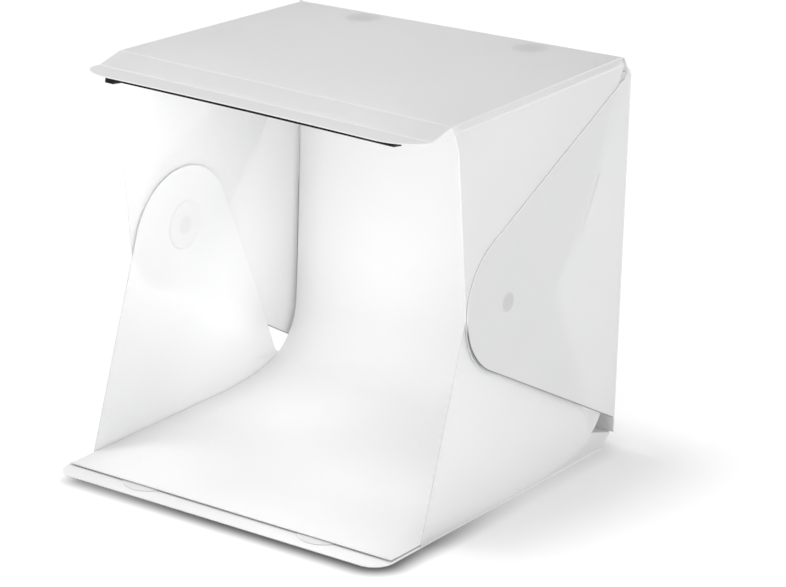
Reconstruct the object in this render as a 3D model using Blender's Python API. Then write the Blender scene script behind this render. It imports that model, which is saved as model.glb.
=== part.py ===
"""A folding light tent: one white plastic sheet, creased into panels, with a lamp bar under its visor.

Metres, +Z up, the open front towards -Y. The origin is under the middle of the tent, on the table.
The long sheet is a chain of plates. Each starts at a crease on the sheet's outer surface, runs along
its own +Y at its own angle, and has its thickness on the inner side of the tent, along its own +Z.
"""

import math

import bmesh
import bpy
import numpy as np
from mathutils import Matrix, Vector

# Overall sizes, over the outer faces
TENT_WIDTH = 0.381
TENT_DEPTH = 0.3903
TENT_HEIGHT = 0.3917

# The sheet and what is glued to it
SHEET = 0.001
GAP = 0.0003
COVER = 0.0004
COVER_DIAMETER = 0.047
MAGNET_DIAMETER = 0.018
MAGNET_PLAY = 0.0003

# The creased chain, from the base round to the visor
BOTTOM_SPINE_WIDTH = 0.020
BOTTOM_SPINE_ANGLE = math.radians(40.0)
TOP_SPINE_WIDTH = 0.0192
TOP_SPINE_ANGLE = math.radians(121.4)
TOP_DEPTH = 0.284
VISOR_STRIP_DEPTH = 0.0314
VISOR_STRIP_ANGLE = math.radians(193.1)
VISOR_TAB_DEPTH = 0.0386
VISOR_TAB_ANGLE = math.radians(173.2)
VISOR_TAB_CORNER_RADIUS = 0.0375
BASE_CORNER_RADIUS = 0.021
BASE_LEDGE = 0.001
VISOR_LARGEST_BEND = math.radians(75.0)
TAB_LARGEST_BEND = math.radians(60.0)

# The bevelled band between the top and each top flap
TOP_BAND_OUT = 0.0025
TOP_BAND_DROP = 0.0067
TOP_BAND_END = 0.001

# How far the top's rear left corner hangs below the others and stands behind them
TOP_CORNER_DROP = 0.0135
TOP_CORNER_BACK = 0.003
HANG_STRIPS = 6

# The three leaves of a side: their magnets, which overlap but aren't quite in line, and their noses
BACK_WING_MAGNET = (-0.0035, 0.2025)
TOP_FLAP_MAGNET = (-0.001, 0.1985)
BASE_WING_MAGNET = (0.0015, 0.1945)
BACK_WING_NOSE = (-0.0016, 0.2049)
BACK_WING_NOSE_RADIUS = 0.068
BACK_WING_FOOT = 0.0283
BACK_WING_HEAD_DROP = 0.0162
TOP_FLAP_NOSE = (0.0, 0.201)
TOP_FLAP_NOSE_RADIUS = 0.0685
TOP_FLAP_FLARE = (0.0075, 0.019)
TOP_FLAP_FLARE_RADIUS = 0.025
TOP_FLAP_KNEE = (0.060, 0.130)
TOP_FLAP_KNEE_RADIUS = 0.090
BASE_WING_NOSE = (0.002, 0.183)
BASE_WING_NOSE_RADIUS = 0.071
BASE_WING_FRONT_FOOT = 0.0673
BASE_WING_KNEE = (0.038, 0.0235)
BASE_WING_KNEE_RADIUS = 0.003

# Magnets in the base and the top that hold the folded tent shut
BASE_MAGNET_SPREAD = 0.101
BASE_MAGNET_SETBACK = 0.0343
TOP_MAGNET_SPREAD = 0.097
TOP_MAGNET_SETBACK = 0.022
TOP_COVER_DIAMETER = 0.034

# The loose white backdrop
BACKDROP_SHEET = 0.0006
BACKDROP_APRON = 0.0219
BACKDROP_SWEEP = 0.124
BACKDROP_LIFT_RADIUS = 0.268
BACKDROP_LIFT_ANGLE = math.radians(16.0)
BACKDROP_DROP = 0.0153
BACKDROP_LEAN = 0.006
BACKDROP_SIDE_PLAY = 0.0005
PAD_DIAMETER = 0.028
PAD_SPREAD = 0.120
PAD_BELOW_EDGE = 0.022

# The lamp bar, in the visor tab's own directions: along X, along the tab, and down from its inner face
LAMP_LENGTH = 0.322
LAMP_OFFSET = 0.002
LAMP_WIDTH = 0.012
LAMP_HEIGHT = 0.0040
LAMP_WALL = 0.001
LAMP_FROM_CREASE = 0.0185
LAMP_TAPE = 0.0005
LAMP_TAPE_WIDTH = 0.008
LAMP_BOARD = 0.0008
LAMP_DIFFUSER = 0.001
LAMP_DIFFUSER_SINK = 0.0002
LAMP_CAP_LENGTH = 0.003
LED_COUNT = 28
LED_SIZE = (0.0035, 0.0028)
LED_HEIGHT = 0.0007
CONNECTOR_LENGTH = 0.010
CONNECTOR_HEIGHT = 0.0070
CONNECTOR_MOUTH = (0.0060, 0.0034)
CONNECTOR_MOUTH_DEPTH = 0.007
PIN_DIAMETER = 0.0008
PIN_LENGTH = 0.0055
PIN_SPACING = 0.0025

# How finely round outlines are drawn, and how far a cutter runs past a face
ARC_STEP = math.radians(7.0)
CIRCLE_POINTS = 32
OVERRUN = 0.001
MERGE_DISTANCE = 0.00001
SAME_PLACE_SHARE = 0.01

# Colour, roughness, metallic
WHITE_SHEET = ((0.80, 0.80, 0.81, 1.0), 0.42, 0.0)
WHITE_FILM = ((0.86, 0.86, 0.87, 1.0), 0.35, 0.0)
BACKDROP_WHITE = ((0.90, 0.90, 0.90, 1.0), 0.60, 0.0)
MAGNET_GREY = ((0.55, 0.55, 0.56, 1.0), 0.35, 0.8)
LAMP_BLACK = ((0.015, 0.015, 0.016, 1.0), 0.45, 0.0)
BOARD_WHITE = ((0.75, 0.76, 0.74, 1.0), 0.50, 0.0)
DIFFUSER_WHITE = ((0.92, 0.92, 0.88, 1.0), 0.30, 0.0)
TAPE_WHITE = ((0.70, 0.70, 0.70, 1.0), 0.70, 0.0)
PIN_METAL = ((0.80, 0.68, 0.40, 1.0), 0.25, 1.0)

# Places that follow from the sizes above
HALF_WIDTH = TENT_WIDTH / 2
LEAF_PITCH = SHEET + GAP + COVER + GAP
FLAP_PLANE = HALF_WIDTH - LEAF_PITCH
BASE_WING_PLANE = FLAP_PLANE - LEAF_PITCH
BASE_HALF_WIDTH = BASE_WING_PLANE + BASE_LEDGE
TOP_HALF_WIDTH = FLAP_PLANE - TOP_BAND_OUT
SPINE_HALF_WIDTH = BASE_WING_PLANE - SHEET - GAP
BACKDROP_HALF_WIDTH = BASE_WING_PLANE - SHEET - BACKDROP_SIDE_PLAY
FRONT = -TENT_DEPTH / 2
REAR = TENT_DEPTH / 2
BACK_ANGLE = math.radians(90.0)
TOP_ANGLE = math.radians(180.0)


def along(start, length, angle):
    """The point that lies this far from start, at this angle in the Y-Z plane."""
    return (start[0] + length * math.cos(angle), start[1] + length * math.sin(angle))


# The creases, as (Y, Z) on the outer surface
BACK_FOOT = (REAR, BOTTOM_SPINE_WIDTH * math.sin(BOTTOM_SPINE_ANGLE))
BASE_REAR = (REAR - BOTTOM_SPINE_WIDTH * math.cos(BOTTOM_SPINE_ANGLE), 0.0)
BACK_HEAD = (REAR, TENT_HEIGHT - TOP_SPINE_WIDTH * math.sin(TOP_SPINE_ANGLE))
TOP_REAR = along(BACK_HEAD, TOP_SPINE_WIDTH, TOP_SPINE_ANGLE)
TOP_FRONT = along(TOP_REAR, TOP_DEPTH, TOP_ANGLE)
VISOR_CREASE = along(TOP_FRONT, VISOR_STRIP_DEPTH, VISOR_STRIP_ANGLE)
INNER_BACK = REAR - SHEET
FLAP_HEAD = TENT_HEIGHT - TOP_BAND_DROP
BACKDROP_TOP = BACK_HEAD[1] - BACKDROP_DROP
BAND_TILT = math.atan2(TOP_BAND_OUT, TOP_BAND_DROP)


def clear_scene():
    """Removes every object that the file starts with."""
    for obj in list(bpy.data.objects):
        bpy.data.objects.remove(obj)


def new_collection(name):
    """A collection of this name, linked into the scene."""
    collection = bpy.data.collections.new(name)
    bpy.context.scene.collection.children.link(collection)
    return collection


def dress(obj, finish):
    """Gives the object a material of its own."""
    colour, roughness, metallic = finish
    material = bpy.data.materials.new(f"{obj.name}_finish")
    material.use_nodes = True
    shader = material.node_tree.nodes["Principled BSDF"]
    shader.inputs["Base Color"].default_value = colour
    shader.inputs["Roughness"].default_value = roughness
    shader.inputs["Metallic"].default_value = metallic
    material.diffuse_color = colour
    obj.data.materials.clear()
    obj.data.materials.append(material)


def setback(bend):
    """How far a plate's inner edge stays from its crease, so that the crease can close to this bend."""
    return GAP / 2 + SHEET * math.tan(bend / 2)


def arc(centre, radius, start, end):
    """Points on an arc, both ends included."""
    steps = max(2, math.ceil(abs(end - start) / ARC_STEP))
    angles = np.linspace(start, end, steps + 1)
    return [along(centre, radius, angle) for angle in angles]


def circle(centre, diameter):
    """Points all round a circle."""
    angles = np.linspace(0.0, math.tau, CIRCLE_POINTS, endpoint=False)
    return [along(centre, diameter / 2, angle) for angle in angles]


def nose(centre, radius, arrive_from, leave_to):
    """The arc of a leaf's nose between its two tangents, anticlockwise."""
    arrive = Vector(arrive_from) - Vector(centre)
    leave = Vector(leave_to) - Vector(centre)
    start = math.atan2(arrive.y, arrive.x) + math.acos(radius / arrive.length)
    end = math.atan2(leave.y, leave.x) - math.acos(radius / leave.length)
    while end < start:
        end += math.tau
    return arc(centre, radius, start, end)


def rounded(before, corner, after, radius):
    """The arc that rounds one corner of an outline."""
    here = Vector(corner)
    back = (Vector(before) - here).normalized()
    ahead = (Vector(after) - here).normalized()
    half = back.angle(ahead) / 2
    centre = here + (back + ahead).normalized() * (radius / math.sin(half))
    first = here + back * (radius / math.tan(half)) - centre
    last = here + ahead * (radius / math.tan(half)) - centre
    start = math.atan2(first.y, first.x)
    turn = math.remainder(math.atan2(last.y, last.x) - start, math.tau)
    return arc(centre, radius, start, start + turn)


def flat_mesh(name, outlines, thickness):
    """A plate's mesh, from z = 0 up to its thickness. The first outline is its edge, the rest are holes."""
    curve = bpy.data.curves.new(name, "CURVE")
    curve.dimensions = "2D"
    curve.fill_mode = "BOTH"
    curve.extrude = thickness / 2
    for points in outlines:
        spline = curve.splines.new("POLY")
        spline.points.add(len(points) - 1)
        for place, point in zip(points, spline.points):
            point.co = (place[0], place[1], 0.0, 1.0)
        spline.use_cyclic_u = True
    drawn = bpy.data.objects.new(name, curve)
    bpy.context.scene.collection.objects.link(drawn)
    bpy.context.view_layer.update()
    evaluated = drawn.evaluated_get(bpy.context.evaluated_depsgraph_get())
    mesh = bpy.data.meshes.new_from_object(evaluated)
    bpy.data.objects.remove(drawn)
    bpy.data.curves.remove(curve)
    weld(mesh)
    mesh.transform(Matrix.Translation((0.0, 0.0, thickness / 2)))
    return mesh


def weld(mesh):
    """Joins a curve's loose caps to its sides, with every face pointing out."""
    work = bmesh.new()
    work.from_mesh(mesh)
    bmesh.ops.remove_doubles(work, verts=work.verts, dist=MERGE_DISTANCE)
    bmesh.ops.recalc_face_normals(work, faces=work.faces)
    work.to_mesh(mesh)
    work.free()


def mitre(mesh, axis, edge, inner_edge):
    """Moves the inner side of a plate's crease edge, so that the crease has a groove to close."""
    top = max(vertex.co.z for vertex in mesh.vertices)
    near = abs(inner_edge - edge) * SAME_PLACE_SHARE
    for vertex in mesh.vertices:
        if vertex.co.z > top / 2 and abs(vertex.co[axis] - edge) <= near:
            vertex.co[axis] = inner_edge


def cut_across(mesh, axes):
    """Cuts a piece into strips across these axes, and its faces into triangles, so that it can bend."""
    work = bmesh.new()
    work.from_mesh(mesh)
    for axis in axes:
        places = [vertex.co[axis] for vertex in work.verts]
        for place in np.linspace(min(places), max(places), HANG_STRIPS + 1)[1:-1]:
            normal = Vector((0.0, 0.0, 0.0))
            normal[axis] = 1.0
            everything = [*work.verts, *work.edges, *work.faces]
            bmesh.ops.bisect_plane(work, geom=everything, plane_co=normal * place, plane_no=normal)
    bmesh.ops.remove_doubles(work, verts=work.verts, dist=MERGE_DISTANCE)
    bmesh.ops.triangulate(work, faces=work.faces)
    work.to_mesh(mesh)
    work.free()


def held(share):
    """A share kept between nothing and all."""
    return min(max(share, 0.0), 1.0)


def top_rise(place):
    """How near a place is to the top's rear crease, from 0 at its front crease to 1."""
    return (place[0] - TOP_FRONT[0]) / TOP_DEPTH


def hang(obj, frame, axes, rise):
    """Lowers a piece of the top by its share of the rear left corner's drop: left share times rear share."""
    cut_across(obj.data, axes)
    drop = frame.to_3x3().inverted() @ Vector((0.0, TOP_CORNER_BACK, -TOP_CORNER_DROP))
    for vertex in obj.data.vertices:
        place = frame @ vertex.co
        left = (TOP_HALF_WIDTH - place.x) / (2 * TOP_HALF_WIDTH)
        vertex.co += drop * held(left) * held(rise(vertex.co, place))


def add(name, mesh, frame, pivot, finish):
    """Places a mesh as a named part under its pivot."""
    mesh.name = name
    obj = bpy.data.objects.new(name, mesh)
    PARTS.objects.link(obj)
    obj.parent = pivot
    obj.matrix_parent_inverse = Matrix.Translation(-place_of(pivot))
    obj.matrix_basis = frame
    dress(obj, finish)
    return obj


def place_of(pivot):
    """Where an unturned pivot stands in the world."""
    place = Vector(pivot.location)
    while pivot.parent:
        pivot = pivot.parent
        place += Vector(pivot.location)
    return place


def new_pivot(name, place, parent=None):
    """An empty on a joint's axis, which carries the pieces that move with it."""
    pivot = bpy.data.objects.new(name, None)
    PARTS.objects.link(pivot)
    if parent:
        pivot.parent = parent
        pivot.location = Vector(place) - place_of(parent)
    else:
        pivot.location = place
    return pivot


def chain_frame(crease, angle):
    """The directions of a plate in the chain: X across, Y away from its crease, Z into the tent."""
    return Matrix.Translation((0.0, crease[0], crease[1])) @ Matrix.Rotation(angle, 4, "X")


def side_frame(low_x):
    """Directions for a leaf: its outline is drawn in world Y and Z, and it is thick towards +X."""
    turn = Matrix(((0.0, 0.0, 1.0), (1.0, 0.0, 0.0), (0.0, 1.0, 0.0))).to_4x4()
    return Matrix.Translation((low_x, 0.0, 0.0)) @ turn


def section_frame(centre_x, length):
    """Directions for a section drawn in world Y and Z that runs this far along X."""
    return side_frame(centre_x - length / 2)


def chain_plate(name, crease, angle, pivot, half_width, depth, bends, holes=(), corner_radius=0.0):
    """A plate of the chain, with a groove for each bend: (at its crease, at its far edge)."""
    near_edge = GAP / 2
    far_edge = depth - GAP / 2 if bends[1] is not None else depth
    corners = [
        (-half_width, near_edge),
        (half_width, near_edge),
        (half_width, far_edge),
        (-half_width, far_edge),
    ]
    if bends[0] is None:
        corners[0] = (-half_width, 0.0)
        corners[1] = (half_width, 0.0)
    outline = list(corners)
    if corner_radius and bends[1] is None:
        right = rounded(corners[1], corners[2], corners[3], corner_radius)
        left = rounded(corners[2], corners[3], corners[0], corner_radius)
        outline = corners[:2] + right + left
    elif corner_radius:
        left = rounded(corners[3], corners[0], corners[1], corner_radius)
        right = rounded(corners[0], corners[1], corners[2], corner_radius)
        outline = left + right + corners[2:]
    mesh = flat_mesh(name, [outline, *holes], SHEET)
    if bends[0] is not None:
        mitre(mesh, 1, near_edge, setback(bends[0]))
    if bends[1] is not None:
        mitre(mesh, 1, far_edge, depth - setback(bends[1]))
    return add(name, mesh, chain_frame(crease, angle), pivot, WHITE_SHEET)


def disc(name, centre, diameter, thickness, height, frame, pivot, finish):
    """A round piece that lies on a plate, with its lower face at this height in the plate's frame."""
    work = bmesh.new()
    bmesh.ops.create_cone(
        work,
        cap_ends=True,
        segments=CIRCLE_POINTS,
        radius1=diameter / 2,
        radius2=diameter / 2,
        depth=thickness,
        matrix=Matrix.Translation((centre[0], centre[1], height + thickness / 2)),
    )
    mesh = bpy.data.meshes.new(name)
    work.to_mesh(mesh)
    work.free()
    obj = add(name, mesh, frame, pivot, finish)
    mesh.shade_smooth()
    mesh.set_sharp_from_angle(angle=math.radians(30.0))
    return obj


def box_mesh(name, low, high):
    """A box between two corners."""
    work = bmesh.new()
    size = Vector(high) - Vector(low)
    middle = (Vector(high) + Vector(low)) / 2
    bmesh.ops.create_cube(work, size=1.0, matrix=Matrix.Translation(middle) @ Matrix.Diagonal((*size, 1.0)))
    mesh = bpy.data.meshes.new(name)
    work.to_mesh(mesh)
    work.free()
    return mesh


def joined_mesh(name, meshes):
    """Several meshes in one, each still a body of its own."""
    work = bmesh.new()
    for mesh in meshes:
        work.from_mesh(mesh)
        bpy.data.meshes.remove(mesh)
    joined = bpy.data.meshes.new(name)
    work.to_mesh(joined)
    work.free()
    return joined


def combine(obj, other_mesh, frame, operation):
    """A Boolean between a part and a hidden guide, which goes to the collection of cutters."""
    guide = bpy.data.objects.new(f"{obj.name}_{operation.lower()}", other_mesh)
    CUTTERS.objects.link(guide)
    guide.matrix_world = frame
    guide.hide_render = True
    guide.display_type = "WIRE"
    modifier = obj.modifiers.new(operation.title(), "BOOLEAN")
    modifier.operation = operation
    modifier.object = guide
    modifier.solver = "EXACT"


def magnet_hole(centre):
    """The punched hole that holds a magnet."""
    return circle(centre, MAGNET_DIAMETER + 2 * MAGNET_PLAY)


def magnet_and_cover(name, centre, frame, pivot, cover_diameter):
    """A magnet flush in its hole, and the round cover glued over it on the inner side."""
    magnet = disc(f"{name}_magnet", centre, MAGNET_DIAMETER, SHEET, 0.0, frame, pivot, MAGNET_GREY)
    cover = disc(f"{name}_magnet_cover", centre, cover_diameter, COVER, SHEET + GAP, frame, pivot, WHITE_FILM)
    return magnet, cover


def make_base(pivot):
    """The base, its two closing magnets and the bevelled spine behind it."""
    front = (FRONT, 0.0)
    depth = BASE_REAR[0] - FRONT
    frame = chain_frame(front, 0.0)
    places = {side: (sign * BASE_MAGNET_SPREAD, BASE_MAGNET_SETBACK) for side, sign in SIDES.items()}
    chain_plate(
        "base_panel",
        front,
        0.0,
        pivot,
        BASE_HALF_WIDTH,
        depth,
        (None, BOTTOM_SPINE_ANGLE),
        [magnet_hole(place) for place in places.values()],
        BASE_CORNER_RADIUS,
    )
    for side, place in places.items():
        magnet_and_cover(f"{side}_base", place, frame, pivot, COVER_DIAMETER)
    bends = (BOTTOM_SPINE_ANGLE, BACK_ANGLE - BOTTOM_SPINE_ANGLE)
    chain_plate(
        "bottom_spine", BASE_REAR, BOTTOM_SPINE_ANGLE, pivot, SPINE_HALF_WIDTH, BOTTOM_SPINE_WIDTH, bends
    )


def make_backdrop(pivot):
    """The loose sheet: it lies on the base, lifts slowly, curves up and leans back to meet the back."""
    floor = SHEET + GAP + COVER + GAP
    wall = INNER_BACK - GAP - COVER - GAP
    level = math.radians(-90.0)
    turned = level + BACKDROP_LIFT_ANGLE
    slow_centre = (REAR - BACKDROP_SWEEP, floor + BACKDROP_LIFT_RADIUS)
    slow_end = along(slow_centre, BACKDROP_LIFT_RADIUS, turned)
    radius = (wall - BACKDROP_LEAN - slow_end[0]) / (1 - math.sin(BACKDROP_LIFT_ANGLE))
    centre = along(slow_end, -radius, turned)
    under = arc(slow_centre, BACKDROP_LIFT_RADIUS, level, turned) + arc(centre, radius, turned, 0.0)[1:]
    over = arc(centre, radius - BACKDROP_SHEET, 0.0, turned)
    over += arc(slow_centre, BACKDROP_LIFT_RADIUS - BACKDROP_SHEET, turned, level)[1:]
    front = FRONT + BACKDROP_APRON
    section = [
        (front, floor + BACKDROP_SHEET),
        (front, floor),
        *under,
        (wall, BACKDROP_TOP),
        (wall - BACKDROP_SHEET, BACKDROP_TOP),
        *over,
    ]
    width = 2 * BACKDROP_HALF_WIDTH
    mesh = flat_mesh("backdrop_sheet", [section], width)
    add("backdrop_sheet", mesh, section_frame(0.0, width), pivot, BACKDROP_WHITE)


def make_back(pivot):
    """The back panel, and the two pads that the backdrop's upper edge sticks to."""
    depth = BACK_HEAD[1] - BACK_FOOT[1]
    bends = (BACK_ANGLE - BOTTOM_SPINE_ANGLE, TOP_SPINE_ANGLE - BACK_ANGLE)
    chain_plate("back_panel", BACK_FOOT, BACK_ANGLE, pivot, HALF_WIDTH, depth, bends)
    frame = chain_frame(BACK_FOOT, BACK_ANGLE)
    height = BACKDROP_TOP - PAD_BELOW_EDGE - BACK_FOOT[1]
    for side, sign in SIDES.items():
        place = (sign * PAD_SPREAD, height)
        disc(f"{side}_backdrop_pad", place, PAD_DIAMETER, COVER, SHEET + GAP, frame, pivot, WHITE_FILM)


def make_top_spine(pivot):
    """The bevel between the back and the top, which follows the hanging corner with its upper edge."""
    bends = (TOP_SPINE_ANGLE - BACK_ANGLE, TOP_ANGLE - TOP_SPINE_ANGLE)
    width = TOP_SPINE_WIDTH
    spine = chain_plate("top_spine", BACK_HEAD, TOP_SPINE_ANGLE, pivot, FLAP_PLANE, width, bends)
    near = setback(bends[0])
    far = width - setback(bends[1])
    frame = chain_frame(BACK_HEAD, TOP_SPINE_ANGLE)
    hang(spine, frame, (0, 1), lambda flat, place: (flat.y - near) / (far - near))


def make_top(pivot):
    """The top, its closing magnets and the bevelled band along each side."""
    frame = chain_frame(TOP_REAR, TOP_ANGLE)
    places = {side: (sign * TOP_MAGNET_SPREAD, TOP_MAGNET_SETBACK) for side, sign in SIDES.items()}
    edge = TOP_HALF_WIDTH - GAP / 2
    top = chain_plate(
        "top_panel",
        TOP_REAR,
        TOP_ANGLE,
        pivot,
        edge,
        TOP_DEPTH,
        (TOP_ANGLE - TOP_SPINE_ANGLE, VISOR_LARGEST_BEND),
        [magnet_hole(place) for place in places.values()],
    )
    inner_edge = TOP_HALF_WIDTH - setback(BACK_ANGLE - BAND_TILT)
    mitre(top.data, 0, edge, inner_edge)
    mitre(top.data, 0, -edge, -inner_edge)
    hang(top, frame, (0, 1), lambda flat, place: top_rise(place.yz))
    for side, place in places.items():
        for piece in magnet_and_cover(f"{side}_top", place, frame, pivot, TOP_COVER_DIAMETER):
            hang(piece, frame, (), lambda flat, place: top_rise(place.yz))
    for side, sign in SIDES.items():
        make_top_band(side, sign, pivot)


def make_top_band(side, sign, pivot):
    """A narrow plate that leans from the top's edge out to the flap's crease, as a section in X and Z."""
    width = math.hypot(TOP_BAND_OUT, TOP_BAND_DROP)
    run = Vector((math.sin(BAND_TILT), -math.cos(BAND_TILT)))
    inward = Vector((-math.cos(BAND_TILT), -math.sin(BAND_TILT)))
    start = Vector((TOP_HALF_WIDTH, TENT_HEIGHT))
    section = [
        start + run * (GAP / 2),
        start + run * (width - GAP / 2),
        start + run * (width - setback(BAND_TILT)) + inward * SHEET,
        start + run * setback(BACK_ANGLE - BAND_TILT) + inward * SHEET,
    ]
    outline = [(sign * point.x, point.y) for point in section]
    length = TOP_REAR[0] - TOP_FRONT[0] - 2 * TOP_BAND_END
    mesh = flat_mesh(f"{side}_top_band", [outline], length)
    turn = Matrix.Rotation(BACK_ANGLE, 4, "X")
    frame = Matrix.Translation((0.0, TOP_REAR[0] - TOP_BAND_END, 0.0)) @ turn
    band = add(f"{side}_top_band", mesh, frame, pivot, WHITE_SHEET)
    hang(band, frame, (2,), lambda flat, place: top_rise(place.yz))


def back_wing_outline():
    """The outer leaf, which comes forward from the back's side edge."""
    rear = INNER_BACK - GAP
    foot = (rear, BACK_WING_FOOT)
    head = (rear, TENT_HEIGHT - BACK_WING_HEAD_DROP)
    return [foot, head, *nose(BACK_WING_NOSE, BACK_WING_NOSE_RADIUS, head, foot)]


def hung(place, share):
    """A place on the top's side edge, (Y, Z), lowered by this share of the corner's drop there."""
    share = share * held(top_rise(place))
    return (place[0] + TOP_CORNER_BACK * share, place[1] - TOP_CORNER_DROP * share)


def top_flap_outline(share):
    """The middle leaf, which hangs from the top's band and takes this share of the corner's drop."""
    head = FLAP_HEAD - setback(BAND_TILT)
    rear = (TOP_REAR[0] - TOP_BAND_END, head)
    front = (TOP_FRONT[0] + TOP_BAND_END, head)
    flare = (front[0] + TOP_FLAP_FLARE[0], front[1] - TOP_FLAP_FLARE[1])
    knee = (rear[0] - TOP_FLAP_KNEE[0], rear[1] - TOP_FLAP_KNEE[1])
    tip = nose(TOP_FLAP_NOSE, TOP_FLAP_NOSE_RADIUS, flare, knee)
    rear = hung(rear, share)
    front = hung(front, share)
    return [
        rear,
        front,
        *rounded(front, flare, tip[0], TOP_FLAP_FLARE_RADIUS),
        *tip,
        *rounded(tip[-1], knee, rear, TOP_FLAP_KNEE_RADIUS),
    ]


def base_wing_outline():
    """The inner leaf, which stands on the base's edge and covers the end of the bottom spine."""
    floor = SHEET + GAP
    slope = math.tan(BOTTOM_SPINE_ANGLE)
    rear = INNER_BACK - GAP
    front_foot = (FRONT + BASE_WING_FRONT_FOOT, floor)
    rear_foot = (BASE_REAR[0] + floor / slope, floor)
    tail_low = (rear, (rear - BASE_REAR[0]) * slope)
    tail_high = (rear, tail_low[1] + SHEET)
    knee = (REAR - BASE_WING_KNEE[0], BASE_WING_KNEE[1])
    tip = nose(BASE_WING_NOSE, BASE_WING_NOSE_RADIUS, knee, front_foot)
    bend = rounded(tail_high, knee, tip[0], BASE_WING_KNEE_RADIUS)
    return [front_foot, rear_foot, tail_low, tail_high, *bend, *tip]


def make_leaf(name, outline, point, sign, plane, pivot):
    """One leaf of a side, with its magnet and cover at this point."""
    hole = magnet_hole(point)
    outer = sign * plane
    inner = sign * (plane - SHEET)
    cover_outer = sign * (plane - SHEET - GAP)
    cover_inner = sign * (plane - SHEET - GAP - COVER)
    leaf_frame = side_frame(min(outer, inner))
    cover_frame = side_frame(min(cover_outer, cover_inner))
    add(name, flat_mesh(name, [outline, hole], SHEET), leaf_frame, pivot, WHITE_SHEET)
    disc(f"{name}_magnet", point, MAGNET_DIAMETER, SHEET, 0.0, leaf_frame, pivot, MAGNET_GREY)
    disc(f"{name}_magnet_cover", point, COVER_DIAMETER, COVER, 0.0, cover_frame, pivot, WHITE_FILM)


def lamp_box(name, x_range, y_half, z_range):
    """A box of the lamp, in the visor tab's frame."""
    low = (x_range[0], LAMP_FROM_CREASE - y_half, z_range[0])
    high = (x_range[1], LAMP_FROM_CREASE + y_half, z_range[1])
    return box_mesh(name, low, high)


def make_lamp(pivot):
    """The black lamp bar: tape, channel, circuit board with its lamps, diffuser, end cap and connector."""
    frame = chain_frame(VISOR_CREASE, VISOR_TAB_ANGLE)
    left = LAMP_OFFSET - LAMP_LENGTH / 2
    right = LAMP_OFFSET + LAMP_LENGTH / 2
    channel = (left + CONNECTOR_LENGTH + GAP, right - LAMP_CAP_LENGTH - GAP)
    inside = (channel[0] + GAP, channel[1] - GAP)
    tape_top = SHEET + GAP
    top = tape_top + LAMP_TAPE + GAP
    bottom = top + LAMP_HEIGHT
    half = LAMP_WIDTH / 2
    inner_half = half - LAMP_WALL - GAP
    tape = lamp_box("lamp_tape", inside, LAMP_TAPE_WIDTH / 2, (tape_top, tape_top + LAMP_TAPE))
    add("lamp_tape", tape, frame, pivot, TAPE_WHITE)
    housing = lamp_box("lamp_housing", channel, half, (top, bottom))
    housing = add("lamp_housing", housing, frame, pivot, LAMP_BLACK)
    hollow = (channel[0] - OVERRUN, channel[1] + OVERRUN)
    groove = lamp_box("groove", hollow, half - LAMP_WALL, (top + LAMP_WALL, bottom + OVERRUN))
    combine(housing, groove, frame, "DIFFERENCE")
    board_top = top + LAMP_WALL + GAP
    board_bottom = board_top + LAMP_BOARD
    board = lamp_box("lamp_board", inside, inner_half, (board_top, board_bottom))
    board = add("lamp_board", board, frame, pivot, BOARD_WHITE)
    combine(board, led_row(inside, board_bottom), frame, "UNION")
    cover_bottom = bottom - LAMP_DIFFUSER_SINK
    cover = lamp_box("lamp_diffuser", inside, inner_half, (cover_bottom - LAMP_DIFFUSER, cover_bottom))
    add("lamp_diffuser", cover, frame, pivot, DIFFUSER_WHITE)
    cap = lamp_box("lamp_end_cap", (right - LAMP_CAP_LENGTH, right), half, (top, bottom))
    add("lamp_end_cap", cap, frame, pivot, LAMP_BLACK)
    make_connector(frame, pivot, left, top)


def led_row(span, board_bottom):
    """The lamps on the board, which sink into it a little so that they join."""
    spacing = (span[1] - span[0]) / LED_COUNT
    boxes = []
    for number in range(LED_COUNT):
        centre = span[0] + spacing / 2 + spacing * number
        x_range = (centre - LED_SIZE[0] / 2, centre + LED_SIZE[0] / 2)
        z_range = (board_bottom - LAMP_BOARD / 2, board_bottom + LED_HEIGHT)
        boxes.append(lamp_box("led", x_range, LED_SIZE[1] / 2, z_range))
    return joined_mesh("lamp_leds", boxes)


def make_connector(frame, pivot, left, top):
    """The block at the lamp's left end, with a two-pin inlet that faces outwards."""
    x_range = (left, left + CONNECTOR_LENGTH)
    bottom = top + CONNECTOR_HEIGHT
    block = lamp_box("lamp_connector", x_range, LAMP_WIDTH / 2, (top, bottom))
    block = add("lamp_connector", block, frame, pivot, LAMP_BLACK)
    middle = (top + bottom) / 2
    reach = CONNECTOR_MOUTH[1] / 2
    mouth_end = left + CONNECTOR_MOUTH_DEPTH
    mouth_x = (left - OVERRUN, mouth_end)
    mouth = lamp_box("mouth", mouth_x, CONNECTOR_MOUTH[0] / 2, (middle - reach, middle + reach))
    combine(block, mouth, frame, "DIFFERENCE")
    turn = Matrix.Rotation(BACK_ANGLE, 4, "Y")
    for side, sign in SIDES.items():
        along_tab = LAMP_FROM_CREASE + sign * PIN_SPACING / 2
        start = (mouth_end - GAP - PIN_LENGTH, along_tab, middle)
        pin_frame = frame @ Matrix.Translation(start) @ turn
        disc(f"{side}_lamp_pin", (0.0, 0.0), PIN_DIAMETER, PIN_LENGTH, 0.0, pin_frame, pivot, PIN_METAL)


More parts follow.
